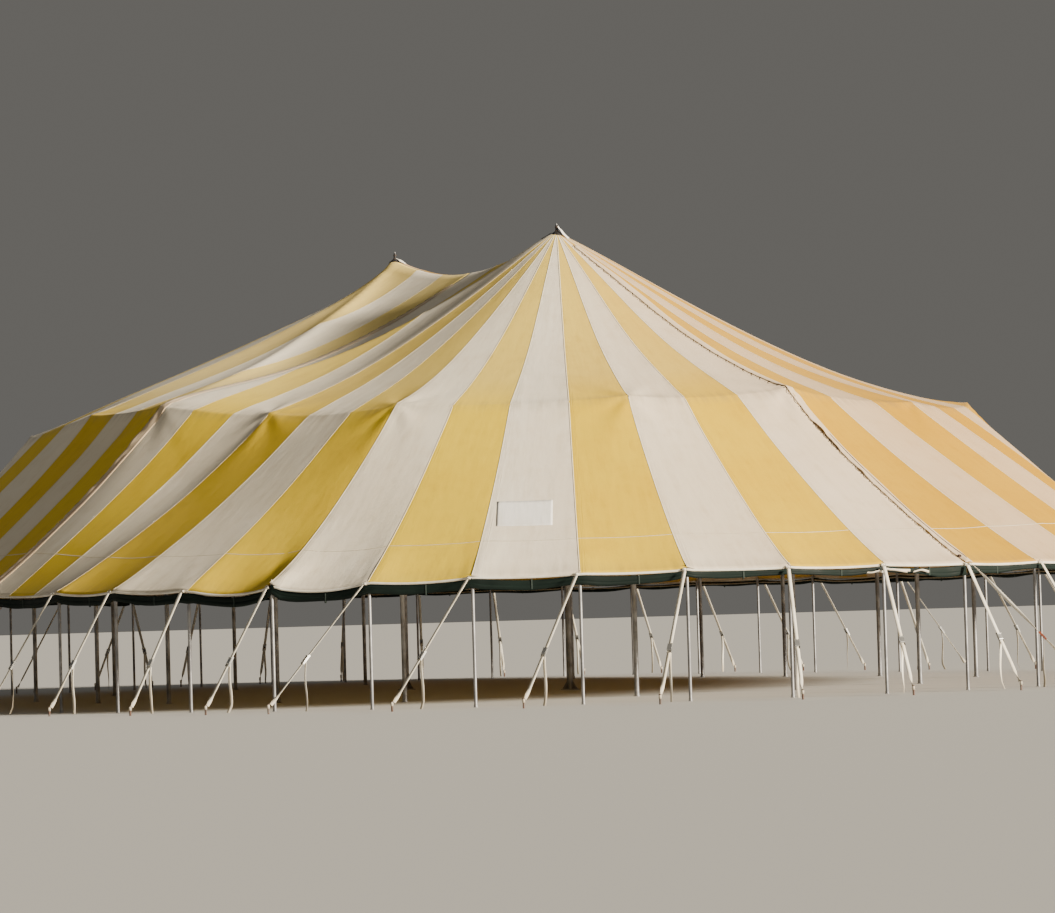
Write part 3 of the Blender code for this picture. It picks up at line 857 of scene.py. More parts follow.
def cloth_mesh(name, points, cloth_uv, upward=False):
    """A grid of points as a mesh with a UV map in metres. upward turns its faces up."""
    rows, columns = points.shape[:2]
    faces = grid_faces(rows, columns)
    if upward and not points_facing_up(points):
        faces = faces[:, ::-1]
    mesh = bpy.data.meshes.new(name)
    mesh.from_pydata(points.reshape(-1, 3).tolist(), [], faces.tolist())
    layer = mesh.uv_layers.new(name="cloth")
    layer.data.foreach_set("uv", cloth_uv.reshape(-1, 2)[faces.ravel()].astype(np.float32).ravel())
    mesh.shade_smooth()
    return mesh


def store(mesh, name, values, domain="POINT"):
    """Keeps a value for each point or face, or one value for all of them."""
    layer = mesh.attributes.new(name, "FLOAT", domain)
    values = np.broadcast_to(np.asarray(values, np.float32).ravel(), len(layer.data))
    layer.data.foreach_set("value", np.ascontiguousarray(values))


def canopy(end, side):
    quarter = SURFACES[end, side]
    u, s = np.linspace(0, LAST, LAST * GORE_COLUMNS + 1), grid_rows()
    uu, ss = np.meshgrid(u, s)
    points = open_laces(quarter.at(uu, ss), end, side)
    steps = np.linalg.norm(np.diff(points, axis=0), axis=-1)
    down = np.concatenate([np.zeros((1, len(u))), np.cumsum(steps, axis=0)])
    width = quarter.gore_width(uu, ss)
    uv = np.stack([((uu % 1) - 0.5) * width + GORE_SPACING * np.floor(uu), down], -1)
    name = f"canvas_{end}_{side}"
    mesh = cloth_mesh(name, points, uv, upward=True)
    gores = np.tile(np.arange(LAST * GORE_COLUMNS) // GORE_COLUMNS, len(s) - 1)
    starts_yellow = ENDS[end] * SIDES[side] > 0
    mesh.materials.append(WHITE)
    mesh.materials.append(YELLOW)
    mesh.polygons.foreach_set("material_index", ((gores + starts_yellow) % 2).astype(np.int32))
    store(mesh, "from_seam", (0.5 - np.abs(uu % 1 - 0.5)) * width)
    # painted shade, by side and by gore
    store(mesh, "tan", np.interp(uu, *PAINTED_SIDE_SHADE_BY_GORE[side]))
    store(mesh, "bleach", np.interp(ss, UPPER_CONE_PALING_ENDS, (UPPER_CONE_PALING[end, side], 0)))
    store(mesh, "above_eave", down[-1:] - down)
    ring_row = np.argmin(np.abs(s - 1))
    store(mesh, "from_ring", np.abs(down - down[ring_row]))
    store(mesh, "tone", draw.uniform(0, 1, LAST)[gores], "FACE")
    piece = thick(new_piece(name, mesh), CANVAS_THICKNESS, -1)
    area = sum(face.area for face in mesh.polygons)
    print(name, len(mesh.polygons), "faces", round(area, 1), "m2, longest seam", round(down.max(), 2))
    return dress(piece, "canopy_canvas", f"canopy_{end}_{side}"), area


CANOPIES = {quarter: canopy(*quarter) for quarter in QUARTERS}

# %% [markdown]
# ## Steel tubes
# Poles are plain tubes with a foot, a sleeve joint where two lengths meet, and a pin that
# goes through an eyelet in the cloth. Each is a profile turned round its own axis, which
# keeps it closed and light, and one helper serves every round part of the tent.

# %% Turned parts and steel


def turned(profile, sides, centre=(0, 0, 0)):
    """(radius, height) points turned round a vertical axis, closed at both ends."""
    turns = np.arange(sides) * 2 * math.pi / sides
    profile = np.array(profile, float)
    ring = np.stack([np.cos(turns), np.sin(turns)], -1)
    points = np.concatenate([
        np.concatenate([ring * radius, np.full((sides, 1), height)], -1)
        for radius, height in profile]) + np.array(centre)
    faces = []
    for row in range(len(profile) - 1):
        for j in range(sides):
            k = (j + 1) % sides
            faces.append((row * sides + j, row * sides + k, (row + 1) * sides + k, (row + 1) * sides + j))
    faces.append(tuple(range(sides))[::-1])
    faces.append(tuple(range((len(profile) - 1) * sides, len(profile) * sides)))
    return points, faces


def solid_mesh(name, parts, finish, sharp=35):
    """One mesh from (points, faces) parts, shaded smooth but for its sharp edges."""
    points, faces = [], []
    for some, theirs in parts:
        faces += [tuple(i + len(points) for i in face) for face in theirs]
        points += [tuple(point) for point in some]
    mesh = bpy.data.meshes.new(name)
    mesh.from_pydata(points, [], faces)
    mesh.materials.append(finish)
    mesh.shade_smooth()
    mesh.set_sharp_from_angle(angle=math.radians(sharp))
    return mesh


def steel(name, colour, dark, rust, metallic=0.75, roughness=0.45):
    """Weathered steel: dull patches, scuffs that run along it, and rust towards its foot."""
    made, board, shader = shader_board(name)
    place = board.node("ShaderNodeTexCoord").output("Object")
    patch = noise(board, place, 3.0, 5.0, 0.6)
    scuff = noise(board, stretched(board, place, 60.0, 60.0, 2.5), 1.0, 4.0, 0.7)
    grain = noise(board, place, 160.0, 2.0, 0.6)
    height = board.node("ShaderNodeSeparateXYZ", values={0: place}).output("Z")
    low = ease(board, height + (patch - 0.5) * 0.3, 0.02, 0.35, rust, rust * 0.12)
    rusty = ease(board, noise(board, place, 11.0, 6.0, 0.7), 0.62 - 0.3 * rust, 0.72) * low
    worn = tinted(board, ease(board, patch, 0.35, 0.65), colour, dark)
    scuffed = tinted(board, ease(board, scuff, 0.55, 0.75, 0, 0.5), worn, (0.62, 0.61, 0.59))
    rusted = tinted(board, rusty, scuffed, (0.16, 0.055, 0.02))
    rough = ease(board, patch, 0.3, 0.7, roughness - 0.1, roughness + 0.15) + rusty * 0.3
    finish_shader(board, shader, rusted, rough, scuff * 0.3 + grain * 0.2 + rusty, 0.0008, 0.5)
    metal = ease(board, rusty, 0.1, 0.6, metallic, metallic * 0.3)
    board.tree.links.new(metal.socket, shader.inputs["Metallic"])
    return made


POLE_STEEL = steel("grey pole steel", (0.36, 0.36, 0.37), (0.22, 0.22, 0.23), 0.12)
STAKE_STEEL = steel("rusty stake steel", (0.13, 0.11, 0.10), (0.07, 0.055, 0.05), 0.9, 0.6, 0.6)
ZINC = steel("zinc plate", (0.60, 0.60, 0.58), (0.42, 0.42, 0.41), 0.25, 0.85, 0.35)
RED_PLATE = steel("reddish plate", (0.42, 0.12, 0.06), (0.25, 0.07, 0.04), 0.5, 0.3, 0.5)
print("steels ready")

# %% [markdown]
# ## Quarter poles and centre poles
# The quarter poles stand upright under the ring seam and end in a rounded head that pushes
# the cloth up into a small peak. The centre poles stand on a wide foot and end in a collar,
# on which the plate of cloth rests, and a pin that stands out above the peak.

# %% Ring poles
RING_POLE_RADIUS, RING_FOOT_RADIUS = 0.045, 0.07
SLEEVE = 0.004  # how far sleeves and collars stand out from a tube
JOINT_SHARE = 0.48  # of the pole's height, where its two lengths meet
HEAD_DEPTH, HEAD_RADIUS, HEAD_RISE = 0.14, 0.042, 0.075
CLOTH_CLEARANCE = 0.008  # under the outer face of the cloth


def cloth_under(end, side, spot):
    """Height of the cloth's outer face over a spot in plan."""
    quarter = SURFACES[end, side]
    foot = quarter.way * HALF_RIDGE
    if abs(spot.x) < HALF_RIDGE - 0.01:
        u = LAST - MID_GORES * abs(spot.x) / HALF_RIDGE
        reach = abs(spot.y)
    else:
        u = math.degrees(math.atan2(abs(spot.y), abs(spot.x - foot))) / 90 * END_GORES
        reach = math.hypot(spot.x - foot, spot.y)
    stops = np.linspace(0, 2, 401)
    points = quarter.at(np.full_like(stops, u), stops)
    root, _ = quarter.ways(np.full_like(stops, u))
    reaches = np.linalg.norm(points[:, :2] - root, axis=-1)
    return float(np.interp(reach, reaches, points[:, 2]))


def ring_pole(node, end, side):
    """A quarter pole with its foot, sleeve, two spring knobs and rounded head."""
    foot = middle(node)
    top = cloth_under(end, side, foot) - CLOTH_CLEARANCE
    r, wide = RING_POLE_RADIUS, RING_POLE_RADIUS + SLEEVE
    joint = top * JOINT_SHARE
    profile = [(RING_FOOT_RADIUS, 0), (RING_FOOT_RADIUS, 0.01), (wide, 0.014), (wide, 0.06), (r, 0.064),
               (r, joint - 0.12), (wide, joint - 0.116), (wide, joint + 0.116), (r, joint + 0.12),
               (r, top - HEAD_DEPTH), (wide, top - HEAD_DEPTH + SLEEVE), (wide, top - 0.08)]
    profile += [(HEAD_RADIUS * math.cos(a), top - HEAD_RISE + HEAD_RISE * math.sin(a))
                for a in np.linspace(0.2, 1.35, 7)]
    parts = [turned(profile, 28, (foot.x, foot.y, 0))]
    points, faces = turned([(0.001, -0.006), (0.011, -0.006), (0.011, 0.004), (0.004, 0.008)], 8)
    for level in (joint - 0.08, joint + 0.08):
        parts.append((points[:, [2, 0, 1]] + (foot.x + r + 0.002, foot.y, level), faces))
    name = node.replace("quarter_pole", "ring_pole")
    return dress(new_piece(name, solid_mesh(name, parts, POLE_STEEL)), "pole_steel", node)


for end in ENDS:
    ring_pole(f"quarter_pole_{end}_apex", end, "left")
    for side in SIDES:
        for number in (1, 2, 3):
            ring_pole(f"quarter_pole_{end}_{side}_{number}", end, side)
for side in SIDES:
    ring_pole(f"quarter_pole_{side}_middle", "front", side)
print("ring poles", len(TIPS))

# %% Centre poles
CENTRE_RADIUS, FOOT_RADIUS, COLLAR_RADIUS, PIN_RADIUS = 0.064, 0.2, 0.088, 0.019
CENTRE_JOINTS = 3.1, 6.2
GUSSETS = 6
PIN_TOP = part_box("centre_pole_front")[1].z


def gusset(turn, centre):
    """A triangular rib between the tube and its foot."""
    way = np.array([math.cos(turn), math.sin(turn), 0])
    across = np.array([-way[1], way[0], 0])
    plan = [(CENTRE_RADIUS - 0.002, 0.02), (FOOT_RADIUS - 0.03, 0.02),
            (FOOT_RADIUS - 0.03, 0.035), (CENTRE_RADIUS - 0.002, 0.2)]
    points = [np.array(centre) + way * out + across * side + (0, 0, z)
              for side in (-0.004, 0.004) for out, z in plan]
    faces = [(3, 2, 1, 0), (4, 5, 6, 7), (0, 1, 5, 4), (1, 2, 6, 5), (2, 3, 7, 6), (3, 0, 4, 7)]
    return points, faces


def centre_pole(end):
    """A centre pole from its gusseted foot to the pin above the collar."""
    centre = (ENDS[end] * HALF_RIDGE, 0, 0)
    under = PEAK_HEIGHT - 0.012
    r, wide = CENTRE_RADIUS, CENTRE_RADIUS + SLEEVE
    profile = [(FOOT_RADIUS, 0), (FOOT_RADIUS, 0.018), (FOOT_RADIUS - 0.006, 0.024), (r, 0.024)]
    for joint in CENTRE_JOINTS:
        profile += [(r, joint - 0.2), (wide, joint - 0.195), (wide, joint + 0.195), (r, joint + 0.2)]
    profile += [(r, under - 0.09), (wide, under - 0.085), (wide, under - 0.03),
                (COLLAR_RADIUS, under - 0.024), (COLLAR_RADIUS, under), (PIN_RADIUS, under),
                (PIN_RADIUS, PIN_TOP - 0.05), (PIN_RADIUS * 0.8, PIN_TOP - 0.02),
                (PIN_RADIUS * 0.25, PIN_TOP)]
    parts = [turned(profile, 36, centre)]
    parts += [gusset(2 * math.pi * (rib + 0.5) / GUSSETS, centre) for rib in range(GUSSETS)]
    name = f"king_pole_{end}"
    return dress(new_piece(name, solid_mesh(name, parts, POLE_STEEL)), "pole_steel", f"centre_pole_{end}")


for end in ENDS:
    centre_pole(end)
print("centre poles with pins up to", round(PIN_TOP, 3))

# %% [markdown]
# ## Eave, side poles and their bolt rope
# A side pole stands at each seam, a hand's breadth inside the eave. Its pin passes an eyelet
# in the cloth, and a bolt rope sewn under the eave runs from pole to pole. The rope is a
# three-strand rope, made as three strands that wind round one path.

# %% Eave path and side poles
SIDE_RADIUS = 0.03
POLE_INSET = 0.07  # from the eave's edge to the middle of a side pole
LACE_POLE_ASIDE = 0.028  # the pole at a lace stands beside it
ROPE_DROP = 0.09  # of the bolt rope below the eave's edge
ROPE_STRANDS, ROPE_STRAND = 3, 0.0075
ROPE_PITCH, ROPE_STEPS = 0.14, 6  # in each pitch


def eave(quarter, u, inset=0.0, drop=0.0):
    """Points beside the eave's edge, inset towards the tent and dropped below the cloth."""
    u = np.asarray(u, float)
    inset, drop = np.broadcast_to(inset, u.shape), np.broadcast_to(drop, u.shape)
    return quarter.at(u, 2.0) - quarter.level_way(u) * inset[..., None] - UPRIGHT * drop[..., None]


def pole_profile(top):
    r = SIDE_RADIUS
    return [(0.045, 0), (0.045, 0.006), (0.034, 0.01), (0.034, 0.05), (r, 0.053), (r, top - 0.03),
            (r + 0.003, top - 0.027), (r + 0.003, top - 0.006), (r - 0.006, top), (0.007, top),
            (0.007, top + 0.035), (0.003, top + 0.042)]


def owned_seams(end, side):
    """Each lace pole belongs to one of its two quarters, as in the solids."""
    return SIDE_SEAMS[:-1] if ENDS[end] * SIDES[side] < 0 else SIDE_SEAMS[1:]


def side_pole_feet(end, side):
    quarter = SURFACES[end, side]
    feet = []
    for u in owned_seams(end, side):
        foot = eave(quarter, float(u), POLE_INSET)
        if u == 0:
            foot[1] += SIDES[side] * LACE_POLE_ASIDE
        if u == LAST:
            foot[0] += ENDS[end] * LACE_POLE_ASIDE
        feet.append(foot)
    return feet


def run_along(path):
    """How far along its path each point is."""
    return np.concatenate([[0], np.cumsum(np.linalg.norm(np.diff(path, axis=0), axis=-1))])


def rope_strands(quarter):
    """The bolt rope under the eave as three strands wound round its path."""
    steps = int(EAVE_RADIUS * 1.8 / ROPE_PITCH) * ROPE_STEPS
    u = np.linspace(0.01, LAST - 0.01, steps)
    core = eave(quarter, u, POLE_INSET, ROPE_DROP)
    out, along = quarter.level_way(u), run_along(core)
    paths = []
    for strand in range(ROPE_STRANDS):
        turn = along / ROPE_PITCH * 2 * math.pi + strand * 2 * math.pi / ROPE_STRANDS
        way = out * np.cos(turn)[:, None] + UPRIGHT * np.sin(turn)[:, None]
        paths.append(core + way * ROPE_STRAND)
    return paths


def rope_material(name, colour, dirty):
    made, board, shader = shader_board(name)
    place = board.node("ShaderNodeTexCoord").output("Object")
    fibre = noise(board, place, 220.0, 3.0, 0.7)
    patch = noise(board, place, 5.0, 4.0, 0.6)
    tint = tinted(board, ease(board, patch, 0.35, 0.7), colour, dirty)
    tint = tinted(board, ease(board, fibre, 0.45, 0.75, 0, 0.35), tint, GRIME)
    finish_shader(board, shader, tint, ease(board, fibre, 0.3, 0.7, 0.75, 0.95), fibre, 0.001, 0.6)
    return made


ROPE = rope_material("hemp rope", (0.36, 0.31, 0.22), (0.22, 0.18, 0.12))
DARK_ROPE = rope_material("tarred rope", (0.10, 0.06, 0.04), (0.05, 0.035, 0.03))


def side_poles(end, side):
    quarter = SURFACES[end, side]
    parts = []
    for foot in side_pole_feet(end, side):
        top = foot[2] - CLOTH_CLEARANCE + 0.02
        parts.append(turned(pole_profile(top), 20, (foot[0], foot[1], 0)))
    name = f"eave_poles_{end}_{side}"
    rope = cords("bolt_rope", rope_strands(quarter), ROPE, ROPE_STRAND * 1.1)
    piece = joined(name, [solid_mesh(name, parts, POLE_STEEL), rope])
    return dress(piece, "side_pole_steel", f"side_poles_{end}_{side}")


for quarter in QUARTERS:
    made = side_poles(*quarter)
    print(made.name, len(made.data.polygons), "faces")

# %% [markdown]
# ## Webbing
# Cream polyester webbing: ribs across it, two darker woven edges, and mud towards its lower
# end. The ribbon tree leaves how far along and beside the middle each point is, so the
# ribs and the stitches lie along the strap whichever way it runs.

# %% Webbing and tape materials
RIB = 2 * math.pi / 0.004


def woven(name, colour, dirty, half_width, stitch=None, mud=0.6):
    """Flat woven ribbon. stitch is the colour of two rows of stitches near its edges."""
    made, board, shader = shader_board(name)
    place = board.node("ShaderNodeTexCoord").output("Object")
    along, beside = attribute(board, "along"), attribute(board, "beside")
    rib = (along * RIB).sine()
    from_middle = beside.unsigned()
    edge = ease(board, from_middle, half_width * 0.82, half_width * 0.95)
    patch = noise(board, place, 2.2, 5.0, 0.6)
    speck = noise(board, place, 70.0, 3.0, 0.7)
    height = board.node("ShaderNodeSeparateXYZ", values={0: place}).output("Z")
    low = ease(board, height + (patch - 0.5) * 0.4, 0.0, 0.5, mud, 0)
    tone = tinted(board, ease(board, patch, 0.35, 0.7), colour, dirty)
    tone = tinted(board, edge * 0.35 + ease(board, speck, 0.6, 0.8, 0, 0.3), tone, dirty)
    tone = tinted(board, low, tone, (0.17, 0.125, 0.07))
    if stitch:
        dash = (along * (RIB / 3)).sine() > -0.3
        row = (from_middle - half_width * 0.72).unsigned()
        tone = tinted(board, (row < 0.0016) * dash * 0.8, tone, stitch)
    finish_shader(board, shader, tone, ease(board, speck, 0.3, 0.7, 0.6, 0.85),
                  rib * 0.5 + speck * 0.4, 0.0012, 0.5)
    return made


STRAP_WIDTH = 0.068
TAPE_WIDTH = 0.024
WEBBING = woven("cream webbing", (0.86, 0.82, 0.72), (0.70, 0.63, 0.50), STRAP_WIDTH / 2)
TAPE = woven("seam tape", (0.84, 0.76, 0.58), (0.76, 0.66, 0.46), TAPE_WIDTH / 2, (0.36, 0.29, 0.18), 0)
print("materials", WEBBING.name, "and", TAPE.name)

# %% [markdown]
# ## Seams
# The gores are sewn together with flat felled seams, and a narrower seam runs round a little
# above the eave. They are ribbons that follow the cloth.

# %% Seam tapes
TAPE_THICKNESS = 0.0016
LOWER_SEAM_WIDTH = 0.02
TAPE_PROUD = 0.3  # of its thickness, from the cloth to the middle of the tape
SEAM_ROWS = 110
LOWER_SEAM_ABOVE_EAVE = 1.4
RING_ABOVE_EAVE = 3.4  # about, to turn metres along the cloth into a share of its fall


def surface_paths(quarter, runs, lift):
    """Paths on the cloth from runs of (u, s), and the way across: flat on it, square to the path."""
    paths, ways = [], []
    for u, s in runs:
        u, s = np.broadcast_arrays(np.asarray(u, float), np.asarray(s, float))
        paths.append(quarter.at(u, s, lift))
        way = np.cross(quarter.normal(u, s), np.gradient(paths[-1], axis=0))
        ways.append(way / np.linalg.norm(way, axis=-1, keepdims=True))
    return paths, ways


def lower_seam_share(quarter, u):
    """The fall at which the lower seam runs round."""
    run = EAVE_RADIUS - sum(quarter.ring_reach(u))
    return 2 - LOWER_SEAM_ABOVE_EAVE / np.hypot(run, RING_ABOVE_EAVE)


def seam_tapes(end, side):
    quarter = SURFACES[end, side]
    falls = np.linspace(0.02, 1.995, SEAM_ROWS)
    down_runs = [(float(u), falls) for u in range(1, LAST)]
    rounds = np.linspace(0.03, LAST - 0.03, LAST * GORE_COLUMNS * 2)
    round_runs = [(rounds, lower_seam_share(quarter, rounds))]
    name, meshes = f"seams_{end}_{side}", []
    for runs, width in ((down_runs, TAPE_WIDTH), (round_runs, LOWER_SEAM_WIDTH)):
        paths, ways = surface_paths(quarter, runs, TAPE_THICKNESS * TAPE_PROUD)
        meshes.append(ribbons(name, paths, ways, TAPE, width, TAPE_THICKNESS))
    return dress(joined(name, meshes), "canopy_canvas")


SEAMS = {quarter: seam_tapes(*quarter) for quarter in QUARTERS}
print("seam tapes", {piece.name: len(piece.data.polygons) for piece in SEAMS.values()})

# %% [markdown]
# ## A patch
# One white gore was mended with a rectangle of new cloth, which is brighter than the rest.
# It is a small grid laid on the same surface as the canopy, so it takes up its curve.

# %% Repair patch
PATCH_QUARTER = ("front", "left")
PATCH_GORES = (4.26, 4.92)
PATCH_FALL = (1.53, 1.68)
PATCH_TAPER = 0.07
PATCH_SIZE = np.array((1.3, 0.75))  # about, for its streaks and soiled edges
PATCH_LIFT, PATCH_THICKNESS = 0.004, 0.0015
NEW_WHITE = canvas("new white canvas", (0.94, 0.91, 0.86), (0.96, 0.94, 0.90), (0.95, 0.93, 0.88))


def patch():
    quarter = SURFACES[PATCH_QUARTER]
    across, fall = np.meshgrid(np.linspace(0, 1, 25), np.linspace(0, 1, 13))
    u = PATCH_GORES[0] + (PATCH_GORES[1] - PATCH_GORES[0]) * across * (1 - PATCH_TAPER * fall)
    s = PATCH_FALL[0] + (PATCH_FALL[1] - PATCH_FALL[0]) * fall
    points = quarter.at(u, s, PATCH_LIFT)
    uv = np.stack([across, fall], -1) * PATCH_SIZE
    mesh = cloth_mesh("repair_patch", points, uv, upward=True)
    mesh.materials.append(NEW_WHITE)
    store(mesh, "from_seam", np.min(np.minimum(uv, PATCH_SIZE - uv), axis=-1))
    for name in ("above_eave", "from_ring"):
        store(mesh, name, 2.0)
    store(mesh, "tone", 0.9, "FACE")
    return dress(thick(new_piece("repair_patch", mesh), PATCH_THICKNESS, -1), "canopy_canvas")


PATCH = patch()
print("patch", [round(size, 2) for size in PATCH.dimensions])

# %% [markdown]
# ## Laces
# The quarters are laced together along four lines. A flap sewn to one quarter covers the
# lacing; its free edge lifts and ripples, so it draws a thin dark line down the tent. Under
# its edge a rope passes from eyelet to eyelet.

# %% Lace flaps
FLAP_WIDTH = 0.19
FLAP_ROWS, FLAP_COLUMNS = 260, 7
FLAP_LIFT = 0.006
# painted shade on the lace flaps, as on the right side
FLAP_PAINTED_SIDE_SHADE = 0.65
LACE_START, LACE_PITCH, LACE_STEPS = 0.05, 0.28, 6  # the last in each pitch
LACING_RADIUS, DRAWCORD_RADIUS, KNOT_RADIUS = 0.006, 0.008, 0.011
EYELET_RADIUS, EYELET_HOLE, EYELET_ASIDE = 0.014, 0.0077, 0.07
DRAWCORD_ASIDE, DRAWCORD_LIFT = 0.125, 0.012  # of the cord that runs beside the lower lacing
LACES = {"front": ("front", "right", 0), "back": ("back", "left", 0),
         "left": ("front", "left", LAST), "right": ("back", "right", LAST)}


def lace_surface(end, side, u0, along, beside, lift):
    """A point beside a lace. beside is positive on the flap's own quarter."""
    quarter = SURFACES[end, side]
    inward = 1 if u0 == 0 else -1
    width = np.maximum(quarter.gore_width(float(u0) + inward * 0.01, along), 0.05)
    u = u0 + inward * np.maximum(beside, 0) / width
    point = quarter.at(u, along, lift)
    out = quarter.level_way(np.full_like(along, float(u0)))
    aside = np.stack([-out[..., 1], out[..., 0]], -1)
    toward = quarter.at(u0 + inward * 0.05, along)[..., :2] - quarter.at(float(u0), along)[..., :2]
    aside = aside * np.sign(np.sum(aside * toward, -1, keepdims=True))
    point[..., :2] += aside * np.minimum(beside, 0)[..., None]
    return point


def flap_ripple(down, share):
    """Height of the free edge over the cloth. It stands open in a few places."""
    ripple = 0.006 + 0.004 * np.sin(down * 9.3) + 0.004 * np.sin(down * 23.1 + 1)
    ripple = ripple * np.clip((down - 6) / 2, 0.2, 1)
    for place, size in ((8.9, 0.04), (9.4, 0.03), (10.4, 0.02), (12.6, 0.012)):
        ripple = ripple + size * np.exp(-((down - place) / 0.22) ** 2)
    return np.maximum(ripple, 0.002) * share ** 2


def lace(name, spot):
    end, side, u0 = spot
    quarter = SURFACES[end, side]
    start = (LACE_TOP - PEAK_FLAT) / quarter.reaches[0 if u0 == 0 else -1]
    falls = np.linspace(start, 1.995, FLAP_ROWS)
    line = quarter.at(float(u0), falls)
    down = run_along(line)
    width = FLAP_WIDTH * np.clip(down / 1.5, 0.35, 1) * (1 + 0.06 * np.sin(down * 3.1))
    columns = []
    for share in np.linspace(0, 1, FLAP_COLUMNS):
        beside = width * (1 - share) - 0.03 * share + 0.008 * np.sin(down * 5.7) * share
        lift = FLAP_LIFT + flap_ripple(down, share)
        columns.append(lace_surface(end, side, u0, falls, beside, lift))
    points = np.stack(columns, 1)
    across = np.linspace(FLAP_WIDTH, 0, FLAP_COLUMNS)
    uv = np.stack(np.meshgrid(across, down), -1)
    mesh = cloth_mesh(f"lace_flap_{name}", points, uv, upward=True)
    mesh.materials.append(WHITE)
    store(mesh, "from_seam", np.tile(0.01 + across * 0.4, (FLAP_ROWS, 1)))
    store(mesh, "above_eave", np.repeat(down[-1] - down, FLAP_COLUMNS))
    store(mesh, "from_ring", 1.0)
    # the flaps take the same painted shade
    store(mesh, "tan", FLAP_PAINTED_SIDE_SHADE)
    store(mesh, "tone", 0.5, "FACE")
    flap = thick(new_piece(f"lace_flap_{name}", mesh), CANVAS_THICKNESS, 1)
    dress(flap, "lace_line", f"lace_{name}")
    return flap, down[-1], lacing(name, spot, falls, down)


def lacing(name, spot, falls, down):
    """Rope that zigzags under the flap's edge between eyelets, and a knot at its foot."""
    end, side, u0 = spot
    count = int(down[-1] / LACE_PITCH)
    stops = np.arange(count * LACE_STEPS) / LACE_STEPS * LACE_PITCH + LACE_START
    along = np.interp(stops, down, falls)
    phase = (np.arange(count * LACE_STEPS) % LACE_STEPS) / LACE_STEPS
    beside = -0.045 + 0.03 * np.cos(2 * math.pi * phase)
    lift = 0.009 + 0.004 * np.sin(2 * math.pi * phase)
    path = lace_surface(end, side, u0, along, beside, lift)
    low = np.linspace(1.22, 1.97, 160)
    drawcord = lace_surface(end, side, u0, low, np.full_like(low, DRAWCORD_ASIDE), DRAWCORD_LIFT)
    rope = cords("lacing", [path], ROPE, LACING_RADIUS)
    cord = cords("drawcord", [drawcord], DARK_ROPE, DRAWCORD_RADIUS)
    foot = lace_surface(end, side, u0, np.array([1.955]), np.array([0.0]), 0.03)[0]
    knot = [foot + np.array([0.024 * math.sin(2 * turn), 0.024 * math.cos(3 * turn),
                             0.018 * math.sin(3 * turn)]) for turn in np.linspace(0, 2 * math.pi, 40)]
    knot = cords("knot", [knot], DARK_ROPE, KNOT_RADIUS)
    parts = []
    ring = [(EYELET_HOLE, 0), (EYELET_RADIUS, 0), (EYELET_RADIUS, 0.002), (EYELET_HOLE, 0.003)]
    for stop in np.arange(count) * LACE_PITCH + LACE_START:
        share = np.interp([stop], down, falls)
        spot_at = lace_surface(end, side, u0, share, np.array([-EYELET_ASIDE]), 0.0025)[0]
        normal = Vector(SURFACES[end, side].normal(np.array([float(u0)]), share)[0])
        turn = np.array(normal.to_track_quat("Z", "Y").to_matrix())
        points, faces = turned(ring, 10)
        parts.append((points @ turn.T + spot_at, faces))
    piece = joined(f"lacing_{name}", [rope, cord, knot, solid_mesh("eyelets", parts, ZINC)])
    return dress(piece, "lace_line")


FLAPS = {name: lace(name, spot) for name, spot in LACES.items()}
for flap, length, _ in FLAPS.values():
    print(flap.name, "is", round(length, 2), "m long")

# %% [markdown]
# ## Peaks
# The plate of cloth at each peak is kept dry by a small boot of dark coated cloth tied round
# the pin. A white flap hangs from the pin down one slope. On the other lies a dark strip of
# the boot's cloth, which is painted shadow: it stands for the boot's shade on that slope.
# The boot is a turned skin with folds, and the flaps are short strips laid on the cloth.

# %% Peak boots
BOOT_PROFILE = [  # (radius, height above the plate, looseness)
    (0.135, -0.022, 1.0), (0.122, 0.0, 0.8), (0.105, 0.022, 0.5), (0.085, 0.048, 0.4),
    (0.055, 0.072, 0.4), (0.036, 0.086, 0.2), (0.029, 0.10, 0.1), (0.027, 0.16, 0.2),
    (0.024, 0.21, 0.1), (PIN_RADIUS + 0.002, 0.216, 0)]
BOOT_THICKNESS = 0.002
BOOT_CORD_REACH, BOOT_CORD_RADIUS = 0.034, 0.006
BOOT_CORD_HEIGHTS = 0.092, 0.17
# the dark flap is painted shadow: a dark strip where the boot's shade falls down the slope
FLAP_BEARINGS = {"white": math.radians(24), "dark": math.radians(246)}
WHITE_HEIGHTS = {"front": (0.19, 0.13, 0.05, 0.008), "back": (0.075, 0.055, 0.025, 0.008)}


def boot_material():
    made, board, shader = shader_board("dark coated cloth")
    place = board.node("ShaderNodeTexCoord").output("Object")
    patch = noise(board, place, 14.0, 5.0, 0.65)
    grain = noise(board, place, 260.0, 3.0, 0.6)
    colour = tinted(board, ease(board, patch, 0.35, 0.7), (0.010, 0.009, 0.010), (0.026, 0.022, 0.022))
    colour = tinted(board, ease(board, grain, 0.55, 0.8, 0, 0.25), colour, (0.07, 0.06, 0.05))
    rough = ease(board, patch, 0.3, 0.7, 0.5, 0.8)
    finish_shader(board, shader, colour, rough, grain + patch * 2, 0.002, 0.5)
    return made


BOOT = boot_material()


def folded_shell(centre, profile, turns, folds_count, depth, seed):
    """A turned skin, open below, with folds that grow towards its foot."""
    phases = np.random.default_rng(seed).uniform(0, 6.28, len(folds_count))
    rows = []
    for radius, height, loose in profile:
        off = sum(np.sin(turns * count + phase) for count, phase in zip(folds_count, phases))
        r = radius + depth * loose * off
        rows.append(np.stack([r * np.cos(turns), r * np.sin(turns), height + 0 * turns], -1))
    return np.array(rows) + np.array(centre)


def shell_mesh(name, points, finish):
    rows, columns = points.shape[:2]
    uv = np.stack(np.meshgrid(np.linspace(0, 0.5, columns), np.linspace(0, 0.3, rows)), -1)
    mesh = outward(cloth_mesh(name, points, uv), merge=True)
    mesh.materials.append(finish)
    for attribute_name, value in (("from_seam", 1), ("above_eave", 5), ("from_ring", 1)):
        store(mesh, attribute_name, value)
    store(mesh, "tone", 0.8, "FACE")
    return mesh


